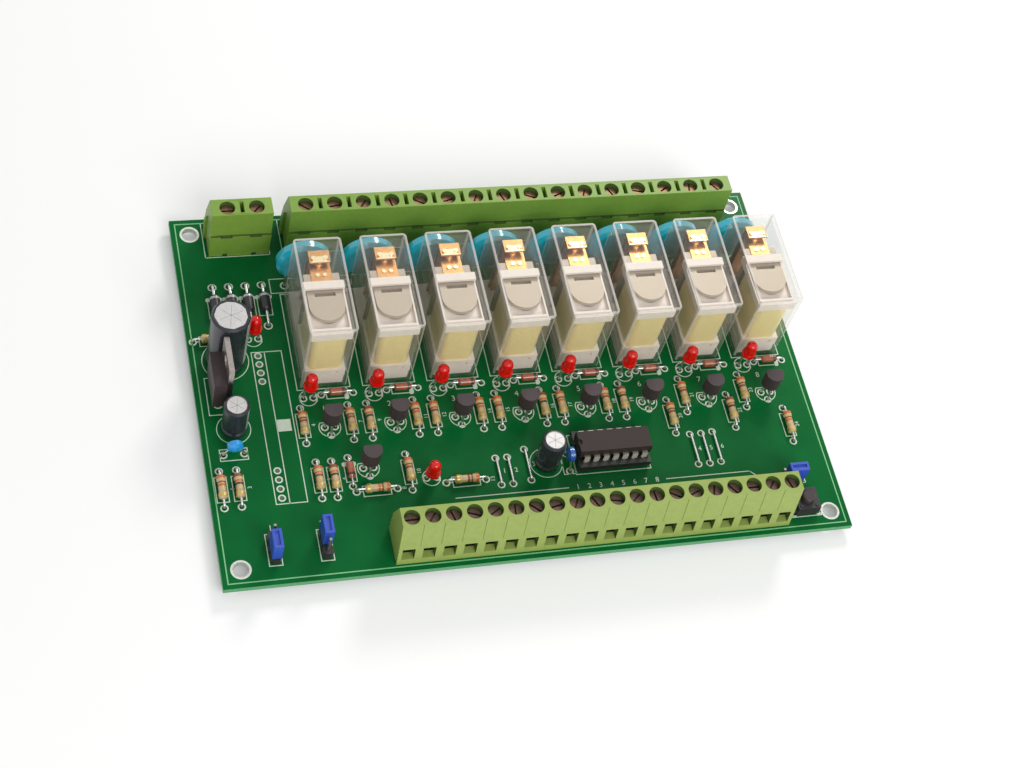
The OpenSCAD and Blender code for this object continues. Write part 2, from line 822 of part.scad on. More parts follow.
// Half-round body with its flat towards +Y; the middle leg is bent forward
module transistor() {
    body_z = 4.2;
    knee_z = 1;
    color("#332a2c")
        translate([0, 0, body_z])
            linear_extrude(4.7)
                difference() {
                    circle(r = 2.35);
                    translate([-3, 1.3])
                        square([6, 3]);
                }
    color("#c4c6c8") {
        for (i = [0, 1])
            lead(transistor_legs[i], body_z + over);
        lead(transistor_legs[2], knee_z);
        translate([transistor_legs[2][0], transistor_legs[2][1], knee_z])
            sphere(r = thin_r + 0.03);
        rod([transistor_legs[2][0], transistor_legs[2][1], knee_z], [0, -0.6, body_z + 0.5], thin_r);
    }
}

module transistors() {
    on_board()
        for (p = transistors_at)
            translate(p)
                transistor();
}

// ---- capacitors, varistors and regulator ----

// Dipped disc that stands in the XZ plane, centred on the origin
module disc(d, t) {
    rotate([90, 0, 0])
        rotate_extrude()
            polygon([[0, -t / 2], [d / 2 - 1, -t / 2], [d / 2, -t / 4], [d / 2, t / 4],
                [d / 2 - 1, t / 2], [0, t / 2]]);
}

module varistors() {
    r = varistor_d / 2;
    color("#1596c4")
        on_board()
            for (k = [0:channels - 1])
                translate([channel_x(k) + varistor_dx, varistor_y, 0]) {
                    translate([0, 0, varistor_z])
                        disc(varistor_d, varistor_t);
                    for (p = pair(0, 0, varistor_span, true))
                        lead(p, varistor_z - sqrt(r * r - p[0] * p[0]) + 1.2, pin_r - 0.05);
                }
}

// Aluminium can in its sleeve, with a rolled groove over the foot and a bevelled rim
module can(d, h, span) {
    r = d / 2;
    lift = 0.3;
    translate([0, 0, lift])
        rotate_extrude()
            polygon([[0, 0], [r - 0.3, 0], [r, 0.4], [r, 1.4], [r - 0.35, 1.8], [r - 0.35, 2.1],
                [r, 2.5], [r, h - 0.5], [r - 0.4, h], [r - 0.7, h], [r - 0.8, h - 0.15], [0, h - 0.15]]);
    for (p = pair(0, 0, span, true))
        lead(p, lift + over);
}

module smoothing_capacitor() {
    color("#26262b")
        on_board()
            translate(big_cap)
                can(big_cap_d, big_cap_h, big_cap_span);
}

module small_capacitors() {
    color("#2a2828")
        on_board()
            for (p = small_cap_places)
                translate(p)
                    can(small_cap_d, small_cap_h, small_cap_span);
}

// Small disc whose legs splay out to their holes
module ceramic_capacitors() {
    foot_z = 0.5;
    neck = ceramic_d / 4;
    color("#2b86c4")
        on_board()
            for (p = ceramic_places)
                turned(p) {
                    translate([0, 0, ceramic_z])
                        disc(ceramic_d, ceramic_t);
                    for (foot = pair(0, 0, ceramic_span, true)) {
                        lead(foot, foot_z);
                        translate([foot[0], 0, foot_z])
                            sphere(r = thin_r + 0.03);
                        rod([foot[0], 0, foot_z], [sign(foot[0]) * neck, 0, ceramic_z - neck], thin_r);
                    }
                }
}

// Power package that stands upright: a drilled metal tab, the body moulded on its -X face, three legs along Y
module voltage_regulator() {
    width = 10;
    leg_z = 3.3;
    body_h = 9.2;
    tab_h = 15.4;
    body_x = [-1.9, 1.2];
    tab_t = 1.3;
    on_board()
        translate([regulator[0], regulator[1], leg_z]) {
            color("#201e20")
                block([body_x[0], body_x[1] + over], [-width / 2, width / 2], [0, body_h]);
            color("#a9aaac")
                difference() {
                    block([body_x[1], body_x[1] + tab_t], [-width / 2, width / 2], [0.3, tab_h]);
                    translate([body_x[1] - 1, 0, tab_h - 2.8])
                        rotate([0, 90, 0])
                            cylinder(r = 1.9, h = tab_t + 2);
                }
            color("#c4c6c8")
                for (y = regulator_legs)
                    translate([0, y, -leg_z])
                        lead([0, 0], leg_z + over, pin_r - 0.05);
        }
}

// ---- chip, jumpers, switch and links ----

// Dual in-line body with a notch, and legs that shoulder out and drop into the socket
module controller_ic() {
    body = [18.8, 6.4, 3.2];
    body_z = leg_shoulder_z + 0.4;
    translate([ic[0], ic[1], 0])
        on_board() {
            color("#3a3234")
                difference() {
                    translate([0, 0, body_z])
                        side_extrude(body[0])
                            polygon([[-body[1] / 2 + 0.3, 0], [-body[1] / 2, body[2] / 2],
                                [-body[1] / 2 + 0.3, body[2]], [body[1] / 2 - 0.3, body[2]],
                                [body[1] / 2, body[2] / 2], [body[1] / 2 - 0.3, 0]]);
                    translate([-body[0] / 2, 0, body_z + body[2] - 0.5])
                        cylinder(r = 0.9, h = 1);
                }
            color("#d9d9d6")
                for (i = [0:ic_pins / 2 - 1], s = [0, 180])
                    rotate([0, 0, s])
                        translate([(i - (ic_pins / 2 - 1) / 2) * grid, 0, 0]) {
                            leg_out = ic_row_span / 2 + leg_t / 2;
                            block([-0.7, 0.7], [body[1] / 2 - 0.3, leg_out], [body_z + 1.4, body_z + 1.4 + leg_t]);
                            block([-0.7, 0.7], [leg_out - leg_t, leg_out], [leg_shoulder_z, body_z + 1.5]);
                            block([-0.25, 0.25], [leg_out - leg_t, leg_out], [leg_shoulder_z - 1.5, leg_shoulder_z + 0.1]);
                        }
        }
}
leg_t = 0.25;
socket_h = 2.6;
leg_shoulder_z = socket_h + 0.2;

module ic_socket() {
    size = [18.8, 10.6];
    rail_w = 2.6;
    color("#1d1b1d")
        on_board()
            translate([ic[0], ic[1], 0])
                difference() {
                    union() {
                        for (s = [-1, 1])
                            translate([0, s * (size[1] - rail_w) / 2, socket_h / 2 + 0.4])
                                cube([size[0], rail_w, socket_h - 0.8], center = true);
                        for (x = [-1, 0, 1])
                            translate([x * (size[0] / 2 - 0.8), 0, socket_h / 2 + 0.4])
                                cube([1.6, size[1] - 1, socket_h - 1.6], center = true);
                    }
                    for (p = socket_pins())
                        translate([p[0] - ic[0], p[1] - ic[1], socket_h / 2 + 1.2])
                            cube([0.8, 0.6, socket_h], center = true);
                }
    color("#c4c6c8")
        on_board()
            for (p = socket_pins())
                lead(p, 1.1);
}

module header_strips() {
    color("#1d1b1d")
        on_board()
            for (h = headers)
                translate([h[0], h[1], 0])
                    linear_extrude(2.5)
                        difference() {
                            for (i = [-1:1])
                                translate(header_step(h, i))
                                    polygon([for (c = [[1, 0.6], [0.6, 1], [-0.6, 1], [-1, 0.6],
                                        [-1, -0.6], [-0.6, -1], [0.6, -1], [1, -0.6]]) c * (grid / 2 + over)]);
                            for (i = [-1:1])
                                translate(header_step(h, i))
                                    square(pin_w + 2 * touch, center = true);
                        }
}
pin_w = 0.62;
pin_top = 2.5 + shunt_h - 0.8;

module header_pins() {
    color("#d2c9a0")
        on_board()
            for (p = header_pins_at())
                translate([p[0] - pin_w / 2, p[1] - pin_w / 2, -under - lead_drop])
                    cube([pin_w, pin_w, under + lead_drop + pin_top]);
}

// Cap that bridges two pins: open below over each pin, with a test slot on top
module shunt(n) {
    size = [2.4, 2 * grid - 0.14, shunt_h];
    at = headers[n];
    mid = [at[0], at[1]] + header_step(at, shunt_shift[n]);
    color("#3056b8")
        on_board()
            translate([mid[0], mid[1], 2.5 + touch])
                rotate([0, 0, at[2] ? 90 : 0])
                    difference() {
                        translate([0, 0, size[2] / 2])
                            cube(size, center = true);
                        for (s = [-0.5, 0.5])
                            translate([0, s * grid, size[2] / 2 - 0.6])
                                cube([pin_w + 0.3, pin_w + 0.3, size[2]], center = true);
                        translate([0, 0, size[2]])
                            cube([1, size[1] - 1.2, 1], center = true);
                    }
}

// Square switch: moulded body with four pegs and a steel lid, drilled for the button
module test_switch_body() {
    body_h = 3.4;
    on_board()
        translate([switch_at[0], switch_at[1], 0]) {
            color("#242022")
                difference() {
                    union() {
                        translate([-switch_w / 2, -switch_w / 2, 0])
                            cube([switch_w, switch_w, body_h]);
                        for (x = [-1, 1], y = [-1, 1])
                            translate([x * (switch_w / 2 - 0.9), y * (switch_w / 2 - 0.9), body_h - over])
                                cylinder(r = 0.5, h = 0.25);
                    }
                    translate([0, 0, body_h - 1.4])
                        cylinder(r = button_r + 0.1, h = 2);
                }
            color("#c4c6c8")
                for (p = switch_leads())
                    translate([p[0] - switch_at[0], p[1] - switch_at[1], 0]) {
                        lead([0, 0], 0.9);
                        side = p[0] > switch_at[0] ? -1 : 1;
                        translate([side * 0.35, 0, 0.75])
                            cube([1, 0.6, 0.3], center = true);
                    }
        }
}
button_r = 1.75;

module test_switch_button() {
    color("#2c2628")
        on_board()
            translate([switch_at[0], switch_at[1], 2 + button_travel + 0.1]) {
                cylinder(r = button_r, h = 2.4);
                translate([0, 0, 2.4 - over])
                    cylinder(r1 = button_r, r2 = button_r - 0.3, h = 0.3);
            }
}

module wire_links() {
    color("#c4c6c8")
        on_board()
            for (i = [0:len(link_places) - 1])
                turned([link_places[i][0], link_places[i][1], false])
                    axial(link_span[i], 1, 0.8)
                        cylinder(r = thin_r, h = 1, center = true);
}

pcb();
solder_joints();
supply_terminal_housing();
output_terminal_housing();
input_terminal_housing();
power_terminal_screws();
input_terminal_screws();
terminal_clamps();
terminal_pins();
for (k = [0:channels - 1]) {
    relay_cover(k);
    relay_base(k);
    relay_armature(k);
}
relay_bobbins();
relay_coils();
relay_yokes();
relay_contacts();
relay_coil_pins();
channel_leds();
status_leds();
glass_diodes();
rectifier_diodes();
transistors();
resistors();
varistors();
smoothing_capacitor();
small_capacitors();
ceramic_capacitors();
voltage_regulator();
controller_ic();
ic_socket();
header_strips();
header_pins();
shunt(0);  // shunt_1
shunt(1);  // shunt_2
shunt(2);  // shunt_3
test_switch_body();
test_switch_button();
wire_links();
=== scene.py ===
"""Looks of the relay module board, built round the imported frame. Lengths are in millimetres unless said."""

import json
import math

import bpy
import numpy as np
from mathutils import Matrix, Vector


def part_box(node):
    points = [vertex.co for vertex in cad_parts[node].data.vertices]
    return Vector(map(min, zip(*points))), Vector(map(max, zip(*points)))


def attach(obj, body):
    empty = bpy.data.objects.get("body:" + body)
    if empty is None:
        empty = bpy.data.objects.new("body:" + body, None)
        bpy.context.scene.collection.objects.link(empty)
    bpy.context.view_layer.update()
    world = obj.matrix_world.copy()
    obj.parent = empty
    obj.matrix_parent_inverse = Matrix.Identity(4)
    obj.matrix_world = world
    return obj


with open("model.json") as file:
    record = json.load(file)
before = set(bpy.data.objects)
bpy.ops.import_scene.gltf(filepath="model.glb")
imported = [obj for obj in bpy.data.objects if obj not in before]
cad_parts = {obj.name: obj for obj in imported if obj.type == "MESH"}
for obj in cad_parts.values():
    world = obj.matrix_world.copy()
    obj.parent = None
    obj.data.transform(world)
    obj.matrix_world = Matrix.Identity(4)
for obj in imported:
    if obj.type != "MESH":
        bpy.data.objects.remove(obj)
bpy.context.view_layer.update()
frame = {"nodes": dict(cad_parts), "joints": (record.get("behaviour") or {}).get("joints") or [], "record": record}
NODES = frame["nodes"]
MM = 0.001


def box(node):
    """Lowest and highest corner of a node, in millimetres."""
    low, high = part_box(node)
    return np.array(low) / MM, np.array(high) / MM


TOP = box("pcb")[1][2]        # component side of the board
UNDER = box("pcb")[0][2]      # solder side of the board

# Light and floor. Places and sizes here are in metres
SKY_LIGHT, SKY_SEEN = 0.5, 0.96     # strength of the sky as light, and as it is seen or mirrored
KEY_POWER, FILL_POWER = 1.7, 3.3    # watts
KEY_PLACE, KEY_SIZE = (0.26, 0.44, 0.40), (0.16, 0.16)
KEY_COLOUR = (1, 0.985, 0.96)
FILL_PLACE, FILL_SIZE = (0.1, -0.56, 0.5), (0.5, 0.4)
FLOOR_HALF = 3.0
FLOOR_WHITE = 0.96
FLOOR_GLOW = 0.22                   # share of the floor that is plain white where it is seen


# ---------------------------------------------------------------- camera, light and floor

# Camera axes in the board's frame, and its place in metres from the board's centre on the solder side
CAMERA_RIGHT = Vector((0.958858, -0.207496, 0.193742))
CAMERA_UP = Vector((0.073618, 0.840866, 0.536214))
CAMERA_BACK = Vector((-0.274174, -0.49989, 0.821546))
CAMERA_PLACE = Vector((-0.134652, -0.250157, 0.406505))
CAMERA_LENS, CAMERA_SENSOR = 67.7, 36


def camera():
    """The photograph's viewing angle."""
    data = bpy.data.cameras.new("camera")
    data.lens = CAMERA_LENS
    data.sensor_width = CAMERA_SENSOR
    data.clip_start = 0.01
    obj = bpy.data.objects.new("camera", data)
    turn = Matrix((CAMERA_RIGHT, CAMERA_UP, CAMERA_BACK)).transposed().to_4x4()
    obj.matrix_world = Matrix.Translation(CAMERA_PLACE + Vector((0, 0, UNDER * MM))) @ turn
    bpy.context.scene.collection.objects.link(obj)
    bpy.context.scene.camera = obj
    bpy.context.scene.view_settings.view_transform = "Standard"


def area_light(name, place, size, power, colour=(1, 1, 1)):
    """A soft lamp that points at the origin."""
    data = bpy.data.lights.new(name, "AREA")
    data.shape = "RECTANGLE"
    data.size, data.size_y = size
    data.energy = power
    data.color = colour
    obj = bpy.data.objects.new(name, data)
    obj.location = place
    obj.rotation_euler = (-Vector(place)).to_track_quat("-Z", "Y").to_euler()
    bpy.context.scene.collection.objects.link(obj)


def pale_rays(t):
    """1 for what the camera, a reflection or a clear piece looks at, 0 for light that falls on the object."""
    path = t.nodes.new("ShaderNodeLightPath")
    both = t.nodes.new("ShaderNodeMath")
    both.operation = "MAXIMUM"
    t.links.new(path.outputs["Is Glossy Ray"], both.inputs[0])
    t.links.new(path.outputs["Is Transmission Ray"], both.inputs[1])
    seen = t.nodes.new("ShaderNodeMath")
    seen.operation = "MAXIMUM"
    t.links.new(path.outputs["Is Camera Ray"], seen.inputs[0])
    t.links.new(both.outputs[0], seen.inputs[1])
    return seen


def studio():
    """A pale sky, two lamps and a white floor that is only seen from above."""
    world = bpy.data.worlds.new("studio")
    world.use_nodes = True
    t = world.node_tree
    ground = t.nodes["Background"]
    ground.inputs[0].default_value = (1, 1, 1, 1)
    level = t.nodes.new("ShaderNodeMapRange")
    level.inputs["To Min"].default_value = SKY_LIGHT
    level.inputs["To Max"].default_value = SKY_SEEN
    t.links.new(pale_rays(t).outputs[0], level.inputs["Value"])
    t.links.new(level.outputs[0], ground.inputs[1])
    bpy.context.scene.world = world
    area_light("key", KEY_PLACE, KEY_SIZE, KEY_POWER, KEY_COLOUR)
    area_light("front_fill", FILL_PLACE, FILL_SIZE, FILL_POWER)

    mesh = bpy.data.meshes.new("floor")
    s = FLOOR_HALF
    mesh.from_pydata([(-s, -s, 0), (s, -s, 0), (s, s, 0), (-s, s, 0)], [], [(0, 1, 2, 3)])
    floor = bpy.data.objects.new("floor", mesh)
    bpy.context.scene.collection.objects.link(floor)
    m = bpy.data.materials.new("floor")
    m.use_nodes = True
    t = m.node_tree
    t.nodes.clear()
    out = t.nodes.new("ShaderNodeOutputMaterial")
    diffuse = t.nodes.new("ShaderNodeBsdfDiffuse")
    diffuse.inputs[0].default_value = (FLOOR_WHITE, FLOOR_WHITE, FLOOR_WHITE, 1)
    glow = t.nodes.new("ShaderNodeEmission")
    glow.inputs[0].default_value = (1, 1, 1, 1)
    part = t.nodes.new("ShaderNodeMath")
    part.operation = "MULTIPLY"
    part.inputs[1].default_value = FLOOR_GLOW
    mix = t.nodes.new("ShaderNodeMixShader")
    t.links.new(pale_rays(t).outputs[0], part.inputs[0])
    t.links.new(part.outputs[0], mix.inputs[0])
    t.links.new(diffuse.outputs[0], mix.inputs[1])
    t.links.new(glow.outputs[0], mix.inputs[2])
    side = t.nodes.new("ShaderNodeNewGeometry")
    below = t.nodes.new("ShaderNodeBsdfTransparent")
    one_way = t.nodes.new("ShaderNodeMixShader")
    t.links.new(side.outputs["Backfacing"], one_way.inputs[0])
    t.links.new(mix.outputs[0], one_way.inputs[1])
    t.links.new(below.outputs[0], one_way.inputs[2])
    t.links.new(one_way.outputs[0], out.inputs[0])
    mesh.materials.append(m)


# ---------------------------------------------------------------- materials

IOR = 1.5
COAT_ROUGH = 0.08
DRIFT = (0.3, 0.7)            # levels of the noise between which the colour changes


def surface(name, colour, rough=0.4, metal=0.0, vary=0.08, grain=0.6, bump=0.0, coat=0.0,
            shine=0.5, stretch=(1, 1, 1)):
    """A procedural finish. Colour, roughness and relief drift together at the size grain, in millimetres."""
    m = bpy.data.materials.new(name)
    m.use_nodes = True
    t = m.node_tree
    shader = t.nodes["Principled BSDF"]
    shader.inputs["Metallic"].default_value = metal
    shader.inputs["IOR"].default_value = IOR
    shader.inputs["Specular IOR Level"].default_value = shine
    shader.inputs["Coat Weight"].default_value = coat
    shader.inputs["Coat Roughness"].default_value = COAT_ROUGH
    where = t.nodes.new("ShaderNodeTexCoord")
    place = t.nodes.new("ShaderNodeMapping")
    place.inputs["Scale"].default_value = stretch
    noise = t.nodes.new("ShaderNodeTexNoise")
    noise.inputs["Scale"].default_value = 1 / (grain * MM)
    noise.inputs["Detail"].default_value = 4
    t.links.new(where.outputs["Object"], place.inputs[0])
    t.links.new(place.outputs[0], noise.inputs["Vector"])
    ramp = t.nodes.new("ShaderNodeValToRGB")
    ramp.color_ramp.elements[0].position = DRIFT[0]
    ramp.color_ramp.elements[1].position = DRIFT[1]
    ramp.color_ramp.elements[0].color = [min(1, c * (1 - vary)) for c in colour] + [1]
    ramp.color_ramp.elements[1].color = [min(1, c * (1 + vary)) for c in colour] + [1]
    t.links.new(noise.outputs[0], ramp.inputs[0])
    t.links.new(ramp.outputs[0], shader.inputs["Base Color"])
    spread = t.nodes.new("ShaderNodeMapRange")
    spread.inputs["To Min"].default_value = max(0.02, rough * 0.8)
    spread.inputs["To Max"].default_value = min(1, rough * 1.2)
    t.links.new(noise.outputs[0], spread.inputs["Value"])
    t.links.new(spread.outputs[0], shader.inputs["Roughness"])
    if bump:
        relief = t.nodes.new("ShaderNodeBump")
        relief.inputs["Strength"].default_value = 0.6
        relief.inputs["Distance"].default_value = bump * MM
        t.links.new(noise.outputs[0], relief.inputs["Height"])
        t.links.new(relief.outputs[0], shader.inputs["Normal"])
    return m


def link_math(t, operation, *values):
    """A math node on sockets or numbers; returns its output."""
    n = t.nodes.new("ShaderNodeMath")
    n.operation = operation
    for i, v in enumerate(values):
        if isinstance(v, (int, float)):
            n.inputs[i].default_value = v
        else:
            t.links.new(v, n.inputs[i])
    return n.outputs[0]


def blend(t, factor, first, second):
    """A mix shader; returns its output."""
    n = t.nodes.new("ShaderNodeMixShader")
    t.links.new(factor, n.inputs[0])
    t.links.new(first, n.inputs[1])
    t.links.new(second, n.inputs[2])
    return n.outputs[0]


# The clear cover: share of gloss and of milkiness, straight on and added at a slant, and the whitish painted
# highlight along its edges
GLOSS_STRAIGHT, GLOSS_SLANT = 0.025, 0.5
MILK_STRAIGHT, MILK_SLANT = 0.015, 0.2
EDGE_HIGHLIGHT = 0.46
EDGE_FULL, EDGE_END = 0.45, 0.78    # an edge gets the whitish painted highlight this near to two limits of the box


def clear_cover():
    """Clear moulded cover: see-through, glossy, slightly milky at a slant, and whitish where walls meet as a
    painted highlight.
    """
    m = surface("clear_cover", (0.82, 0.76, 0.71), rough=0.2, vary=0.03, grain=2.5)
    t = m.node_tree
    through = t.nodes.new("ShaderNodeBsdfTransparent")
    through.inputs[0].default_value = (0.98, 0.985, 0.98, 1)
    gloss = t.nodes.new("ShaderNodeBsdfGlossy")
    gloss.inputs["Roughness"].default_value = 0.06
    slant = t.nodes.new("ShaderNodeLayerWeight")
    slant.inputs[0].default_value = 0.5
    facing = slant.outputs["Facing"]
    mirror = link_math(t, "MULTIPLY_ADD", link_math(t, "POWER", facing, 5), GLOSS_SLANT, GLOSS_STRAIGHT)
    clear = blend(t, mirror, through.outputs[0], gloss.outputs[0])
    milk = link_math(t, "MULTIPLY_ADD", link_math(t, "POWER", facing, 2), MILK_SLANT, MILK_STRAIGHT)

    # painted highlight: near two limits of the box the milky surface is blended in, as a whitish edge
    where = t.nodes.new("ShaderNodeTexCoord")
    apart = t.nodes.new("ShaderNodeSeparateXYZ")
    t.links.new(where.outputs["Generated"], apart.inputs[0])
    low, high = box("relay_1_cover")
    near = []
    for i, letter in enumerate("XYZ"):
        place = apart.outputs[letter]
        left = link_math(t, "SUBTRACT", 1, place)
        gap = left if letter == "Z" else link_math(t, "MINIMUM", place, left)
        ramp = t.nodes.new("ShaderNodeMapRange")
        ramp.interpolation_type = "SMOOTHSTEP"
        ramp.inputs["From Min"].default_value = EDGE_FULL / (high[i] - low[i])
        ramp.inputs["From Max"].default_value = EDGE_END / (high[i] - low[i])
        ramp.inputs["To Min"].default_value = 1
        ramp.inputs["To Max"].default_value = 0
        t.links.new(gap, ramp.inputs["Value"])
        near.append(ramp.outputs[0])
    total = link_math(t, "ADD", link_math(t, "ADD", near[0], near[1]), near[2])
    both = link_math(t, "SUBTRACT", total, 1)
    capped = link_math(t, "MINIMUM", link_math(t, "MAXIMUM", both, 0), 1)
    painted_edge_highlight = link_math(t, "MULTIPLY", capped, EDGE_HIGHLIGHT)
    shader = t.nodes["Principled BSDF"]
    lit = blend(t, link_math(t, "MAXIMUM", milk, painted_edge_highlight), clear, shader.outputs[0])
    path = t.nodes.new("ShaderNodeLightPath")
    seen = blend(t, path.outputs["Is Shadow Ray"], lit, through.outputs[0])
    t.links.new(seen, t.nodes["Material Output"].inputs[0])
    return m


MAT = {
    "mask": surface("solder_mask", (0.002, 0.118, 0.026), rough=0.3, vary=0.1, grain=9, bump=0.004,
                    shine=0.08),
    "laminate": surface("laminate_edge", (0.08, 0.30, 0.12), rough=0.6, vary=0.2, grain=0.3, bump=0.02),
    "silk": surface("silk_print", (0.60, 0.68, 0.56), rough=0.55, vary=0.1, grain=0.25, bump=0.004),
    "border": surface("border_print", (0.20, 0.50, 0.23), rough=0.5, vary=0.12, grain=0.4, bump=0.004),
    "tin": surface("tin", (0.62, 0.62, 0.61), rough=0.28, metal=1, vary=0.12, grain=0.3, bump=0.01),
    "solder": surface("solder", (0.66, 0.67, 0.68), rough=0.2, metal=1, vary=0.1, grain=0.6, bump=0.02),
    "pad": surface("tinned_pad", (0.62, 0.64, 0.58), rough=0.36, metal=0.8, vary=0.12, grain=0.5,
                   bump=0.01),
    "power_green": surface("power_terminal_green", (0.195, 0.33, 0.047), rough=0.4, vary=0.05, grain=1.5,
                           bump=0.006, shine=0.35),
    "input_green": surface("input_terminal_green", (0.285, 0.37, 0.088), rough=0.4, vary=0.05, grain=1.5,
                           bump=0.006, shine=0.35),
    # painted shade: a dark green for the walls of screw wells, wire entries and notches of the terminal housings
    "entry_green": surface("shaded_green", (0.07, 0.12, 0.025), rough=0.6, vary=0.1, grain=1, shine=0.2),
    "screw": surface("browned_screw", (0.20, 0.115, 0.06), rough=0.42, metal=0.75, vary=0.25, grain=0.5,
                     bump=0.01),
    "input_screw": surface("input_screw", (0.115, 0.072, 0.05), rough=0.45, metal=0.7, vary=0.25, grain=0.5,
                           bump=0.01),
    "tab": surface("tab_metal", (0.34, 0.30, 0.28), rough=0.3, metal=1, vary=0.1, grain=0.6, bump=0.008),
    "steel": surface("zinc_steel", (0.60, 0.61, 0.62), rough=0.34, metal=1, vary=0.08, grain=0.5,
                     bump=0.006),
    # the header pins' own colour, also used as painted shade on the chip's leg shoulders and back row
    "pin": surface("header_pin", (0.34, 0.31, 0.27), rough=0.34, metal=0.9, vary=0.08, grain=0.4),
    "cover": clear_cover(),
    "relay_white": surface("relay_white", (0.86, 0.76, 0.68), rough=0.42, vary=0.03, grain=1.2, bump=0.004),
    "coil_tape": surface("coil_tape", (0.90, 0.72, 0.31), rough=0.3, vary=0.1, grain=0.35, bump=0.012,
                         coat=0.4, stretch=(0.25, 0.25, 2.2)),
    "iron": surface("relay_iron", (0.40, 0.37, 0.33), rough=0.42, metal=0.8, vary=0.12, grain=0.5,
                    bump=0.008),
    "armature": surface("armature_plate", (0.45, 0.37, 0.285), rough=0.46, metal=0.25, vary=0.08, grain=0.35,
                        bump=0.01),
    "brass": surface("contact_brass", (0.50, 0.26, 0.10), rough=0.36, metal=1, vary=0.14, grain=0.6,
                     bump=0.008),
    "rivet": surface("contact_rivet", (0.96, 0.80, 0.52), rough=0.2, metal=1, vary=0.06, grain=0.4,
                     bump=0.006),
    "lamp": surface("red_lamp", (0.66, 0.001, 0.001), rough=0.14, vary=0.05, grain=1, coat=0.2, shine=0.4),
    "diode_glass": surface("diode_glass", (0.36, 0.085, 0.035), rough=0.12, vary=0.25, grain=0.9, coat=0.6),
    "black": surface("black_plastic", (0.020, 0.018, 0.020), rough=0.42, vary=0.15, grain=0.3, bump=0.008),
    "package": surface("moulded_epoxy", (0.050, 0.035, 0.038), rough=0.48, vary=0.12, grain=0.18, bump=0.012,
                       shine=0.3),
    "chip": surface("chip_epoxy", (0.034, 0.023, 0.021), rough=0.5, vary=0.12, grain=0.15, bump=0.012,
                    shine=0.2),
    # painted light: a bright copy of tin for the chip's legs that face forward
    "leg": surface("lit_tinned_leg", (0.92, 0.87, 0.80), rough=0.36, metal=0.5, vary=0.06, grain=0.3,
                   bump=0.006),
    "resistor": surface("resistor_lacquer", (0.55, 0.40, 0.20), rough=0.28, vary=0.08, grain=0.8, bump=0.004,
                        coat=0.4),
    "brown": surface("band_brown", (0.24, 0.055, 0.018), rough=0.3, vary=0.1, grain=0.4, coat=0.3),
    "orange": surface("band_orange", (0.56, 0.13, 0.02), rough=0.3, vary=0.1, grain=0.4, coat=0.3),
    "dark": surface("band_dark", (0.045, 0.028, 0.022), rough=0.3, vary=0.1, grain=0.4, coat=0.4),
    "gilt": surface("band_gold", (0.58, 0.42, 0.12), rough=0.32, metal=0.5, vary=0.1, grain=0.4),
    "varistor": surface("varistor_dip", (0.008, 0.40, 0.52), rough=0.16, vary=0.1, grain=1.6, bump=0.03,
                        coat=0.8),
    "ceramic": surface("ceramic_dip", (0.018, 0.30, 0.72), rough=0.26, vary=0.1, grain=1, bump=0.02,
                       coat=0.4),
    "deep_blue": surface("blue_dip", (0.02, 0.11, 0.42), rough=0.26, vary=0.1, grain=1, bump=0.02,
                         coat=0.4),
    "sleeve": surface("capacitor_sleeve", (0.022, 0.024, 0.032), rough=0.28, vary=0.1, grain=1.5, bump=0.01,
                      coat=0.2, shine=0.35),
    "sleeve_mark": surface("sleeve_mark", (0.40, 0.41, 0.41), rough=0.3, vary=0.06, grain=0.8, coat=0.4),
    "can_top": surface("can_aluminium", (0.50, 0.49, 0.48), rough=0.34, metal=1, vary=0.06, grain=0.5,
                       bump=0.004),
    "shunt": surface("shunt_blue", (0.024, 0.075, 0.46), rough=0.4, vary=0.1, grain=0.6, bump=0.004,
                     coat=0.15),
    "score": surface("can_score", (0.28, 0.28, 0.27), rough=0.5, metal=1, vary=0.1, grain=0.5),
}


# ---------------------------------------------------------------- reading the frame

def islands(node):
    """A node's separate solids, left to right: lowest corner, highest corner, polygon indices."""
    mesh = NODES[node].data
    co = np.zeros(len(mesh.vertices) * 3, np.float32)
    mesh.vertices.foreach_get("co", co)
    co = co.reshape(-1, 3) / MM
    _, same = np.unique(np.round(co * 2000).astype(np.int64), axis=0, return_inverse=True)
    same = same.reshape(-1)
    lead = list(range(int(same.max()) + 1))

    def root(a):
        while lead[a] != a:
            lead[a] = lead[lead[a]]
            a = lead[a]
        return a

    for p in mesh.polygons:
        first = root(int(same[p.vertices[0]]))
        for v in p.vertices[1:]:
            other = root(int(same[v]))
            if other != first:
                lead[other] = first
    groups = {}
    for p in mesh.polygons:
        groups.setdefault(root(int(same[p.vertices[0]])), []).append(p.index)
    found = []
    for members in groups.values():
        corners = co[sorted({v for i in members for v in mesh.polygons[i].vertices})]
        found.append((corners.min(0), corners.max(0), members))
    return sorted(found, key=lambda g: tuple(round(float(g[0][i] + g[1][i]), 2) for i in (0, 1)))


SOLIDS = {n: islands(n) for n in NODES}


def dress(node, *names):
    """Gives a node its materials; the first is on every face."""
    mesh = NODES[node].data
    mesh.materials.clear()
    for n in names:
        mesh.materials.append(MAT[n])
    for p in mesh.polygons:
        p.material_index = 0


def paint(node, names, rule):
    """Gives each face the material that a rule picks.

    The rule gets the face's offset from its solid's centre, the face's centre and normal, and the
    solid's two corners.
    """
    dress(node, *names)
    mesh = NODES[node].data
    for low, high, members in SOLIDS[node]:
        mid = (low + high) / 2
        for i in members:
            p = mesh.polygons[i]
            c = np.array(p.center) / MM
            p.material_index = rule(c - mid, c, p.normal, (low, high))


def soften(node, width, angle=70):
    """Small rounded edges, as on moulded or stamped pieces."""
    obj = NODES[node]
    weld = obj.modifiers.new("weld", "WELD")
    weld.merge_threshold = 2e-6
    bevel = obj.modifiers.new("edges", "BEVEL")
    bevel.width = width * MM
    bevel.segments = 2
    bevel.limit_method = "ANGLE"
    bevel.angle_limit = math.radians(angle)
    bevel.harden_normals = False


# ---------------------------------------------------------------- building new pieces

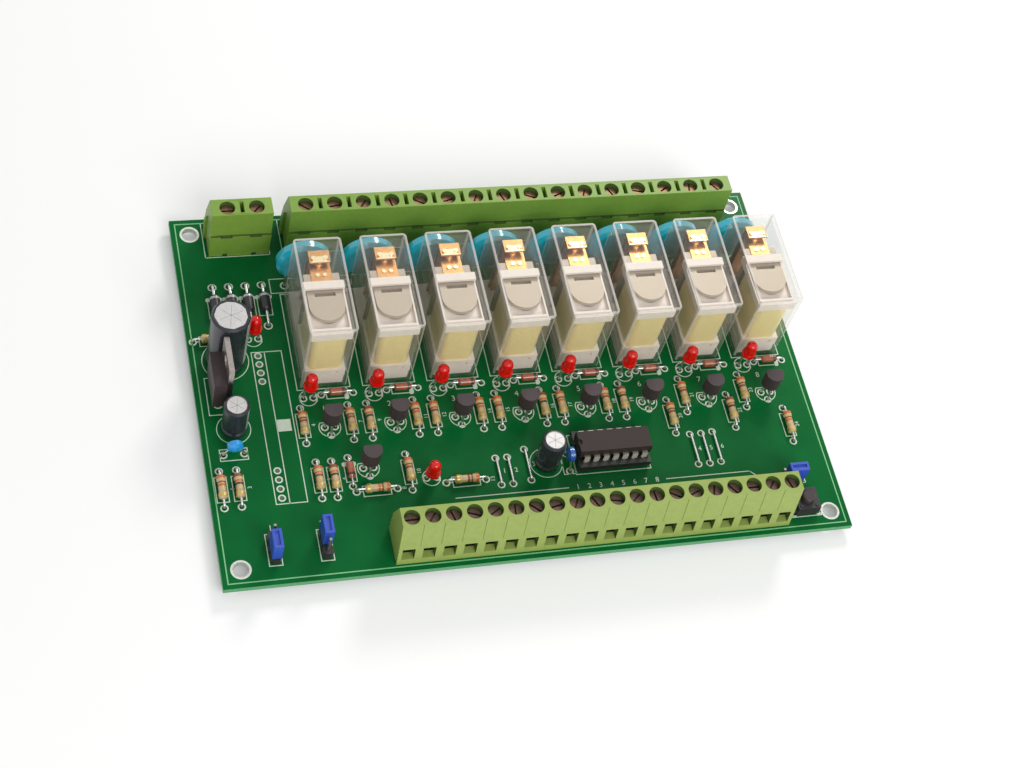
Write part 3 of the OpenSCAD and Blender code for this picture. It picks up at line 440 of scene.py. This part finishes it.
class Maker:
    """Collects closed shapes in millimetres and turns them into one piece."""

    def __init__(self):
        self.verts, self.faces, self.mats = [], [], []

    def _add(self, verts, faces, mat):
        n = len(self.verts)
        self.verts += [tuple(v) for v in verts]
        self.faces += [[n + i for i in f] for f in faces]
        self.mats += [mat] * len(faces)

    def prism(self, loop, z0, z1, mat=0):
        """An upright prism on a loop of points."""
        n = len(loop)
        verts = [(x, y, z0) for x, y in loop] + [(x, y, z1) for x, y in loop]
        faces = [list(range(n))[::-1], [n + i for i in range(n)]]
        faces += [[i, (i + 1) % n, n + (i + 1) % n, n + i] for i in range(n)]
        self._add(verts, faces, mat)

    def band(self, x, y, r0, r1, z0, z1, start=0, sweep=360, steps=28, mat=0):
        """A flat ring, or a part of one, between two radii."""
        whole = abs(sweep) >= 360
        count = steps if whole else steps + 1
        ring = []
        for i in range(count):
            a = math.radians(start + sweep * i / steps)
            for r, z in ((r0, z0), (r1, z0), (r1, z1), (r0, z1)):
                ring.append((x + r * math.cos(a), y + r * math.sin(a), z))
        faces = []
        for i in range(steps):
            a, b = 4 * i, 4 * ((i + 1) % count)
            for j in range(4):
                k = (j + 1) % 4
                faces.append([a + j, b + j, b + k, a + k])
        if not whole:
            faces += [[3, 2, 1, 0], [4 * steps + j for j in range(4)]]
        self._add(ring, faces, mat)

    def line(self, p, q, width, z0, z1, mat=0):
        """A flat stroke with square ends, half its width past each point."""
        d = np.array(q, float) - np.array(p, float)
        d /= np.linalg.norm(d)
        n = np.array([-d[1], d[0]]) * width / 2
        e = d * width / 2
        p, q = np.array(p), np.array(q)
        self.prism([p - n - e, q - n + e, q + n + e, p + n - e], z0, z1, mat)

    def rect(self, x0, y0, x1, y1, width, z0, z1, mat=0):
        """Four strokes round a rectangle."""
        self.line((x0, y0), (x1, y0), width, z0, z1, mat)
        self.line((x0, y1), (x1, y1), width, z0, z1, mat)
        self.line((x0, y0 + width), (x0, y1 - width), width, z0, z1, mat)
        self.line((x1, y0 + width), (x1, y1 - width), width, z0, z1, mat)

    def sleeve(self, centre, axis, profile, thick=0.04, steps=28, start=0, sweep=360, mat=0):
        """A thin shell of revolution. The profile lists distances along the axis with their radii."""
        axis = Vector(axis).normalized()
        side = axis.orthogonal().normalized()
        other = axis.cross(side)
        whole = abs(sweep) >= 360
        count = steps if whole else steps + 1
        m = len(profile)
        loop = [(s, r) for s, r in profile] + [(s, r - thick) for s, r in reversed(profile)]
        verts = []
        for i in range(count):
            a = math.radians(start + sweep * i / steps)
            d = side * math.cos(a) + other * math.sin(a)
            for s, r in loop:
                verts.append(Vector(centre) + axis * s + d * r)
        k = 2 * m
        faces = []
        for i in range(steps):
            a, b = k * i, k * ((i + 1) % count)
            for j in range(k):
                faces.append([a + j, a + (j + 1) % k, b + (j + 1) % k, b + j])
        if not whole:
            faces += [[j for j in range(k)], [k * steps + j for j in reversed(range(k))]]
        self._add(verts, faces, mat)

    def words(self, text, x, y, size, z0, z1, turn=0, mat=0):
        """Plain digits, drawn flat."""
        curve = bpy.data.curves.new("digits", "FONT")
        curve.body = text
        curve.size = size * MM
        curve.extrude = (z1 - z0) / 2 * MM
        curve.align_x = "CENTER"
        curve.align_y = "CENTER"
        curve.resolution_u = 3
        obj = bpy.data.objects.new("digits", curve)
        bpy.context.scene.collection.objects.link(obj)
        bpy.context.view_layer.update()
        ready = obj.evaluated_get(bpy.context.evaluated_depsgraph_get())
        mesh = bpy.data.meshes.new_from_object(ready)
        move = Matrix.Translation((x, y, (z0 + z1) / 2)) @ Matrix.Rotation(math.radians(turn), 4, "Z")
        self._add([move @ (v.co / MM) for v in mesh.vertices], [list(p.vertices) for p in mesh.polygons], mat)
        bpy.data.objects.remove(obj)
        bpy.data.curves.remove(curve)
        bpy.data.meshes.remove(mesh)

    def piece(self, name, body, names, smooth=None):
        """The finished piece, riding on a body."""
        mesh = bpy.data.meshes.new(name)
        mesh.from_pydata([tuple(c * MM for c in v) for v in self.verts], [], self.faces)
        for n in names:
            mesh.materials.append(MAT[n])
        for p, m in zip(mesh.polygons, self.mats):
            p.material_index = m
        mesh.validate()
        if smooth:
            mesh.shade_smooth()
            mesh.set_sharp_from_angle(angle=math.radians(smooth))
        obj = bpy.data.objects.new(name, mesh)
        bpy.context.scene.collection.objects.link(obj)
        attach(obj, body)
        return obj


def along(solid):
    """Of a part that lies on bent leads: whether it lies along x, its axis, the body's centre and radius."""
    low, high, _ = solid
    size = high - low
    mid = (low + high) / 2
    lies_x = size[0] > size[1]
    r = min(size[0], size[1]) / 2
    centre = np.array([mid[0], mid[1], high[2] - r])
    return lies_x, (np.array([1.0, 0, 0]) if lies_x else np.array([0, 1.0, 0])), centre, r


# ---------------------------------------------------------------- the board

def board():
    low, high = box("pcb")

    def rule(d, c, n, solid):
        """Mask on both sides, bare laminate round the outline, plating in the holes."""
        if abs(n.z) > 0.7:
            return 0
        at_edge = min(abs(c[0] - low[0]), abs(c[0] - high[0]), abs(c[1] - low[1]), abs(c[1] - high[1])) < 0.02
        return 1 if at_edge else 2

    paint("pcb", ["mask", "laminate", "pad"], rule)
    dress("solder_joints", "solder")

    hole = frame["record"]["mounts"][0]["dims"]
    r = hole["hole_r_mm"]
    inner, outer = r + 0.02, r + 0.5
    plating = 0.03
    lining = 0.05
    pads = Maker()
    for sx in (-1, 1):
        for sy in (-1, 1):
            x, y = sx * hole["spacing_x_mm"] / 2, sy * hole["spacing_y_mm"] / 2
            pads.band(x, y, inner, outer, TOP, TOP + plating, steps=40)
            pads.band(x, y, inner, outer, UNDER - plating, UNDER, steps=40)
            pads.band(x, y, r - lining, r, UNDER, TOP, steps=40)
    pads.piece("mounting_hole_plating", "board", ["pad"])


# Where the optional plug-in module would sit, from the board's centre
MODULE_X, MODULE_ROWS, MODULE_HOLES = -62.9, (6.3, -27.0), 4
MODULE_BOX = (-64.5, -32.4, -56.9, 11.2)
MODULE_BAR = -61.2
MODULE_MARK, MARK_HALF = (-59.4, -10.6), (1.75, 1.7)
PITCH = 2.54
CONTACT = 5.8                 # from the armature's pivot back to the middle of the contacts

# The print on the component side
PRINT_LOW, PRINT_HIGH = TOP - 0.005, TOP + 0.018
OVER, FAR_OVER = 0.002, 0.004     # a stroke that crosses another lies this much higher
STROKE = 0.24
BORDER_IN, BORDER_STROKE = 1.3, 0.3
RING_IN, RING_OUT = 0.2, 0.16     # a ring round a lead, from the rim of its solder joint
# Half length and half width of the box round a part that lies down
LYING_BOXES = (("resistors", 3.45, 1.45), ("glass_diodes", 2.75, 1.3), ("rectifier_diodes", 3.1, 1.7))
LEAD_BEND = 1.4                   # the stroke to a lead ends this far inside the part's end
BAR_IN, BAR_WIDE = 0.55, 0.9      # the cathode bar of a diode
LAMP_RING = (2.1, 2.34)
CASE_RING, CASE_BACK = (2.6, 2.82), 1.3
CAN_GAP = (0.9, 1.12)
DIGIT, SMALL_DIGIT, TINY_DIGIT = 2.2, 1.8, 1.5
# The line behind the input terminal, from the housing's left end, its bend from the right end
LINE_BACK = 6.3
LINE_LEFT, LINE_RIGHT = (18, 47), 73
LINE_BEND, LINE_DROP = 6, (2, 1.8)
CHANNEL_FROM, CHANNEL_STEP, CHANNEL_DIGIT = 49.5, 3, 2.0


def lying_part_print(s):
    """A box round the body of each resistor and diode, with a stroke to each lead, and a diode's bar."""
    for node, half, wide in LYING_BOXES:
        for solid in SOLIDS[node]:
            lies_x, _, c, _ = along(solid)
            ex, ey = (half, wide) if lies_x else (wide, half)
            s.rect(c[0] - ex, c[1] - ey, c[0] + ex, c[1] + ey, STROKE, PRINT_LOW, PRINT_HIGH)
            reach = solid[1][:2] - solid[0][:2]
            i = 0 if lies_x else 1
            for way in (-1, 1):
                p, q = np.array(c[:2]), np.array(c[:2])
                p[i] += way * half
                q[i] += way * (reach[i] / 2 - LEAD_BEND)
                if (q - p)[i] * way > 0.1:
                    s.line(p, q, STROKE, PRINT_LOW, PRINT_HIGH + OVER)
            if node == "resistors":
                continue
            bar = half - BAR_IN
            if lies_x:
                ends = (c[0] + bar, c[1] - ey), (c[0] + bar, c[1] + ey)
            else:
                ends = (c[0] - ex, c[1] + bar), (c[0] + ex, c[1] + bar)
            s.line(*ends, BAR_WIDE, PRINT_LOW, PRINT_HIGH + FAR_OVER)


def silk_screen():
    """Outlines, rings and plain numbers. The words of the real board are left off."""
    z0, z1 = PRINT_LOW, PRINT_HIGH
    w = STROKE
    s = Maker()

    def frame_round(a, b, dx, dy):
        s.rect(a[0] - dx, a[1] - dy, b[0] + dx, b[1] + dy, w, z0, z1)

    low, high = box("pcb")
    s.rect(low[0] + BORDER_IN, low[1] + BORDER_IN, high[0] - BORDER_IN, high[1] - BORDER_IN, BORDER_STROKE,
           z0, z1, mat=1)

    # a ring round every lead, and the optional module's place
    for a, b, _ in SOLIDS["solder_joints"]:
        x, y = (a[:2] + b[:2]) / 2
        r = (b[0] - a[0]) / 2
        s.band(x, y, r - RING_IN, r + RING_OUT, z0, z1, steps=20)
    for row in MODULE_ROWS:
        for i in range(MODULE_HOLES):
            s.band(MODULE_X, row + (i - (MODULE_HOLES - 1) / 2) * PITCH, 0.6, 0.98, z0, z1, steps=20)
    x0, y0, x1, y1 = MODULE_BOX
    s.rect(x0, y0, x1, y1, w, z0, z1)
    s.line((MODULE_BAR, y0), (MODULE_BAR, y1), w, z0, z1)
    mx, my = MODULE_MARK
    hx, hy = MARK_HALF
    s.prism([(mx - hx, my - hy), (mx + hx, my - hy), (mx + hx, my + hy), (mx - hx, my + hy)], z0, z1)

    lying_part_print(s)

    # lamps: a ring with a flat
    for node in ("channel_leds", "status_leds"):
        for a, b, _ in SOLIDS[node]:
            x, y = (a[:2] + b[:2]) / 2
            s.band(x, y, *LAMP_RING, z0, z1, steps=30)
            s.line((x + LAMP_RING[0], y - 1.0), (x + LAMP_RING[0], y + 1.0), w, z0, z1 + FAR_OVER)
    # transistors: an arc to the front, and a flat behind
    for a, b, _ in SOLIDS["transistors"]:
        x = (a[0] + b[0]) / 2
        y = b[1] - CASE_BACK
        s.band(x, y, *CASE_RING, z0, z1, start=150, sweep=240, steps=24)
        s.line((x - 2.3, y + 1.4), (x + 2.3, y + 1.4), w, z0, z1)
    # round cans and discs
    for node in ("smoothing_capacitor", "small_capacitors"):
        for a, b, _ in SOLIDS[node]:
            x, y = (a[:2] + b[:2]) / 2
            r = (b[0] - a[0]) / 2
            s.band(x, y, r + CAN_GAP[0], r + CAN_GAP[1], z0, z1, steps=40)
    for node in ("ceramic_capacitors", "varistors"):
        for a, b, _ in SOLIDS[node]:
            frame_round(a, b, 0.5, 0.5)
    # relays, with the number of each beside its lamp
    for k in range(1, 9):
        frame_round(*box(f"relay_{k}_cover"), 0.7, 0.5)
        lamp = SOLIDS["channel_leds"][k - 1]
        s.words(str(k), lamp[1][0] + 1.5, lamp[0][1] - 1.5, DIGIT, z0, z1)
    # regulator, chip, switch and jumpers; the third jumper's number is beside it and not behind it
    for node in ("voltage_regulator", "ic_socket", "test_switch_body"):
        frame_round(*box(node), 0.5, 0.4)
    for i, (a, b, _) in enumerate(SOLIDS["header_strips"]):
        frame_round(a, b, 0.3, 0.4)
        aside, behind = (0, 1.9) if i < 2 else (5.4, -1)
        s.words(str(i + 1), (a[0] + b[0]) / 2 + aside, b[1] + behind, DIGIT, z0, z1)
    # terminals: three sides of a box
    for node in ("supply_terminal_housing", "output_terminal_housing"):
        a, b = box(node)
        left, right, front = a[0] - 0.25, b[0] + 0.25, a[1] - 0.3
        s.line((left, front), (right, front), w, z0, z1)
        s.line((left, front), (left, b[1]), w, z0, z1)
        s.line((right, front), (right, b[1]), w, z0, z1)
    for i, (a, b, _) in enumerate(SOLIDS["wire_links"]):
        s.words(str(i + 1), (a[0] + b[0]) / 2 + 1.6, (a[1] + b[1]) / 2, SMALL_DIGIT, z0, z1)
    # the channel numbers of the input terminal, on a line behind it that turns down at its right end
    a, b = box("input_terminal_housing")
    y = b[1] + LINE_BACK
    bend = b[0] - LINE_BEND
    s.line((a[0] + LINE_LEFT[0], y), (a[0] + LINE_LEFT[1], y), w, z0, z1)
    s.line((a[0] + LINE_RIGHT, y), (bend, y), w, z0, z1)
    s.line((bend, y), (bend + LINE_DROP[0], y - LINE_DROP[1]), w, z0, z1)
    for i in range(8):
        s.words(str(i + 1), a[0] + CHANNEL_FROM + CHANNEL_STEP * i, y, CHANNEL_DIGIT, z0, z1)
    for i, (a, b, _) in enumerate(SOLIDS["resistors"]):
        s.words(str(i + 1), b[0] + 1.5, (a[1] + b[1]) / 2, TINY_DIGIT, z0, z1, turn=90)
    s.piece("silk_print", "board", ["silk", "border"])


# ---------------------------------------------------------------- the parts

HOUSINGS = (("supply_terminal_housing", "power_green", "power_terminal_screws"),
            ("output_terminal_housing", "power_green", "power_terminal_screws"),
            ("input_terminal_housing", "input_green", "input_terminal_screws"))
# Where the terminal housings get their painted shade
WELL_R = 2.35                 # a screw well's wall lies within this of the screw
END_WALL = 0.7                # walls this near to a housing's end are outside walls
ENTRY_TOP = 6.4               # wire entries reach this far above the board
NOTCH_DEEP, NOTCH_HALF = 0.62, 0.42     # the notches under the ledge, from the front and from their middle


def terminals():
    for node, name, screws in HOUSINGS:
        wells = [(p + q) / 2 for p, q, _ in SOLIDS[screws]]
        front = box(node)[0][1]
        ledge = (box(node)[1][2] + TOP) / 2

        def shade(d, c, n, solid, wells=wells, front=front, ledge=ledge):
            """Walls of the screw wells, the wire entries and the notches under the ledge get a darker green as
            painted shade.
            """
            if abs(n.z) < 0.2 and any(math.hypot(c[0] - w[0], c[1] - w[1]) < WELL_R for w in wells):
                return 1
            within = solid[0][0] + END_WALL < c[0] < solid[1][0] - END_WALL
            if abs(n.x) > 0.9 and within and c[2] < TOP + ENTRY_TOP:
                return 1
            notch = front + 0.04 < c[1] < front + NOTCH_DEEP and abs(c[2] - ledge + 0.15) < NOTCH_HALF
            return 1 if notch else 0

        paint(node, [name, "entry_green"], shade)
        soften(node, 0.14)
    dress("power_terminal_screws", "screw")
    dress("input_terminal_screws", "input_screw")
    dress("terminal_clamps", "steel")
    dress("terminal_pins", "tin")


# Armature, from its pivot in the plate's own plane
CONTACT_R = 1.32              # the moving contact's head
LEAF_LOW, LEAF_HIGH = 1.09, 1.36
RIVET_TOP = 1.4               # only rivet heads are higher than this
PLATE_BACK = 2.25             # the plate ends here, and only the leaf goes on
LEAF_FACE, LEAF_HALF = 1.11, 2.62
# Fixed contacts
HEAD_LIFT = 0.29              # rivet heads on the upper blade
HEAD_R = 1.2                  # rim of a fixed contact's head


def relays():
    for k in range(1, 9):
        dress(f"relay_{k}_cover", "cover")
        dress(f"relay_{k}_base", "relay_white")
        joint = next(j for j in frame["joints"] if j["child"] == f"armature_{k}")
        pivot = Vector(joint["pos_m"]) / MM
        back = Matrix.Rotation(math.radians(joint["range_deg"][1]), 3, "X")

        def rule(d, c, n, solid, pivot=pivot, back=back):
            """Plate, leaf and moving contact are told apart in the plate's own plane."""
            q = back @ (Vector(c) - pivot)
            off_leaf = q.z > LEAF_HIGH or q.z < LEAF_LOW
            if abs(q.y - CONTACT) < CONTACT_R and off_leaf or q.z > RIVET_TOP:
                return 2
            return 1 if q.y > PLATE_BACK or (q.z > LEAF_FACE and abs(q.x) < LEAF_HALF) else 0

        paint(f"relay_{k}_armature", ["armature", "brass", "rivet"], rule)
    dress("relay_bobbins", "relay_white")
    dress("relay_coils", "coil_tape")
    dress("relay_yokes", "iron")
    dress("relay_coil_pins", "tin")

    joint = next(j for j in frame["joints"] if j["child"] == "armature_1")
    contact_y = joint["pos_m"][1] / MM + CONTACT
    top = box("relay_contacts")[1][2]

    def silvered(d, c, n, solid):
        """Contact heads and the two rivet heads on the upper blade."""
        x = c[0] - (solid[0][0] + solid[1][0]) / 2
        if c[2] > top - HEAD_LIFT:
            return 1
        r = math.hypot(x, c[1] - contact_y)
        rim = abs(r - HEAD_R) < 0.06
        face = 0.02 < r < 1.15 and abs(n.z) > 0.9 and abs(d[0]) < 1.1
        return 1 if rim or face else 0

    paint("relay_contacts", ["brass", "rivet"], silvered)


# Small parts
LAMPS = ("channel_leds", "status_leds")
LYING = ("resistors", "glass_diodes", "rectifier_diodes")
LAMP_HEIGHT = 4.92            # of the coloured body, from its tip down
CASE_LIFT = 4.2               # the transistors' cases stand this far above the board
BODY_HALF = {"resistors": 3.16, "glass_diodes": 2.21, "rectifier_diodes": 2.61}

# Colour bands of a resistor: place from the middle and half width. The caps are thicker than the waist
BAND_PLACES = ((2.42, 0.38), (1.15, 0.3), (0.25, 0.3), (-2.45, 0.36))
BAND_COLOURS = ["brown", "orange", "dark", "gilt"]
BAND_ROWS = (("orange", "brown", "orange", "gilt"), ("orange", "orange", "brown", "gilt"),
             ("brown", "orange", "dark", "gilt"), ("orange", "brown", "brown", "gilt"))
CAP_FROM, WAIST_STEP = 1.9, 0.2
BAND_THICK, MARK_THICK = 0.015, 0.012


def small_parts():
    for n in LAMPS:
        paint(n, ["lamp", "tin"], lambda d, c, nm, so: 1 if c[2] < so[1][2] - LAMP_HEIGHT else 0)
    paint("transistors", ["package", "tin"], lambda d, c, nm, so: 1 if c[2] < TOP + CASE_LIFT - 0.01 else 0)

    def lying(half):
        """The body of a lying part ends at half its length, and the rest is leads."""
        def rule(d, c, nm, so):
            lies_x = so[1][0] - so[0][0] > so[1][1] - so[0][1]
            return 1 if abs(d[0] if lies_x else d[1]) > half else 0
        return rule

    for node, name in zip(LYING, ("resistor", "diode_glass", "black")):
        paint(node, [name, "tin"], lying(BODY_HALF[node]))
    dress("wire_links", "tin")
    for node in LYING + ("wire_links",) + LAMPS:
        NODES[node].data.shade_smooth()
        NODES[node].data.set_sharp_from_angle(angle=math.radians(38))

    bands = Maker()
    for i, solid in enumerate(SOLIDS["resistors"]):
        _, axis, c, r = along(solid)
        row = BAND_ROWS[(i * 5 + i // 4) % 4]
        for (at, half), name in zip(BAND_PLACES, row):
            radius = (r if abs(at) > CAP_FROM else r - WAIST_STEP) + BAND_THICK
            bands.sleeve(c, axis, [(at - half, radius), (at + half, radius)], mat=BAND_COLOURS.index(name))
    bands.piece("resistor_bands", "board", BAND_COLOURS, smooth=40)

    marks = Maker()
    for solid in SOLIDS["glass_diodes"]:
        lies_x, axis, c, r = along(solid)
        at = 1.35 if lies_x else -1.35
        marks.sleeve(c, axis, [(at - 0.35, r + MARK_THICK), (at + 0.35, r + MARK_THICK)], mat=0)
    for solid in SOLIDS["rectifier_diodes"]:
        _, axis, c, r = along(solid)
        marks.sleeve(c, axis, [(1.3, r + MARK_THICK), (2.0, r + MARK_THICK)], mat=1)
    marks.piece("diode_bands", "board", ["dark", "sleeve_mark"], smooth=40)


# Discs: heights above the board, the varistors' lead spacing and a small disc's middle and radius
VARISTOR_LEADS, VARISTOR_FOOT, VARISTOR_LEAD_X = 5.3, 3.9, 3.75
CERAMIC_MIDDLE, CERAMIC_R = 4, 1.96
# Cans: foot, share of the top that is bare, stripe and scores
CAN_FOOT, CAN_RIM, CAN_BARE = 0.28, 0.2, 0.8
STRIPE_LOW, STRIPE_HIGH = 6.1, 0.6    # from the can's lowest point and from its top
STRIPE_START, STRIPE_SWEEP = 274, 42
SCORE_TURNS, SCORE_REACH, SCORE_SINK = (20, 80, 140), 0.62, 0.15
# Regulator: the case starts this far above the board, and the tab this far from its left side
REGULATOR_LIFT, TAB_FROM = 3.29, 3.09


def cans_and_discs():
    def varistor_rule(d, c, n, so):
        at_lead = abs(abs(d[0]) - VARISTOR_LEAD_X) < 0.45 and abs(d[1]) < 0.42
        lead = at_lead and c[2] < TOP + VARISTOR_LEADS
        return 1 if lead or c[2] < TOP + VARISTOR_FOOT else 0

    paint("varistors", ["varistor", "tin"], varistor_rule)

    def ceramic_rule(d, c, n, so):
        """The disc lies within its radius of its middle; the rest is leads."""
        along_x = so[1][0] - so[0][0] > so[1][1] - so[0][1]
        if math.hypot(d[0] if along_x else d[1], c[2] - TOP - CERAMIC_MIDDLE) > CERAMIC_R:
            return 1
        return 0 if c[0] < 0 else 2

    paint("ceramic_capacitors", ["ceramic", "tin", "deep_blue"], ceramic_rule)

    def can_rule(d, c, n, so):
        if c[2] < TOP + CAN_FOOT:
            return 2
        r = math.hypot(d[0], d[1])
        return 1 if c[2] > so[1][2] - CAN_RIM and r < CAN_BARE * (so[1][0] - so[0][0]) / 2 else 0

    scores = Maker()
    for node in ("smoothing_capacitor", "small_capacitors"):
        paint(node, ["sleeve", "can_top", "tin"], can_rule)
        NODES[node].data.shade_smooth()
        NODES[node].data.set_sharp_from_angle(angle=math.radians(30))
        for low, high, _ in SOLIDS[node]:
            x, y = (low[:2] + high[:2]) / 2
            r = (high[0] - low[0]) / 2
            z = high[2] - SCORE_SINK
            for turn in SCORE_TURNS:
                a = math.radians(turn)
                dx, dy = SCORE_REACH * r * math.cos(a), SCORE_REACH * r * math.sin(a)
                scores.line((x + dx, y + dy), (x - dx, y - dy), 0.14, z - 0.01, z + 0.01, mat=0)
            stripe = [(low[2] + STRIPE_LOW, r + BAND_THICK), (high[2] - STRIPE_HIGH, r + BAND_THICK)]
            scores.sleeve((x, y, 0), (0, 0, 1), stripe, start=STRIPE_START, sweep=STRIPE_SWEEP, steps=8,
                          mat=1)
    scores.piece("can_details", "board", ["score", "sleeve_mark"], smooth=40)

    left = box("voltage_regulator")[0][0]

    def regulator_rule(d, c, n, so):
        if c[2] < TOP + REGULATOR_LIFT:
            return 2
        return 1 if c[0] > left + TAB_FROM else 0

    paint("voltage_regulator", ["package", "tab", "tin"], regulator_rule)
    soften("voltage_regulator", 0.12)


CHIP_HALF, CHIP_LIFT = 3.21, 3.19     # half width of the chip's case, and its underside above the board
SWITCH_HALF = 3.02                    # half width of the switch's case, outside which are its legs


def chip_and_jumpers():
    corner, other = box("controller_ic")
    middle = (corner[1] + other[1]) / 2

    def chip_rule(d, c, n, so):
        """Legs that face forward get a bright copy of tin as painted light; their shoulders and the back row get
        the darker pin colour as painted shade.
        """
        if abs(c[1] - middle) <= CHIP_HALF and c[2] >= TOP + CHIP_LIFT:
            return 0
        return 2 if n.z > 0.7 or c[1] > middle else 1

    paint("controller_ic", ["chip", "leg", "pin"], chip_rule)
    paint("ic_socket", ["black", "tin"], lambda d, c, n, so: 1 if c[2] < TOP - 0.01 else 0)
    dress("header_strips", "black")
    dress("header_pins", "pin")
    for k in (1, 2, 3):
        dress(f"shunt_{k}", "shunt")
        soften(f"shunt_{k}", 0.12)

    low, high = box("test_switch_button")
    mid = (low + high) / 2

    def switch_rule(d, c, n, so):
        out = max(abs(c[0] - mid[0]), abs(c[1] - mid[1])) > SWITCH_HALF
        return 1 if out or c[2] < TOP - 0.01 else 0

    paint("test_switch_body", ["black", "tin"], switch_rule)
    dress("test_switch_button", "package")
    soften("test_switch_body", 0.1)


camera()
studio()
board()
silk_screen()
terminals()
relays()
small_parts()
cans_and_discs()
chip_and_jumpers()
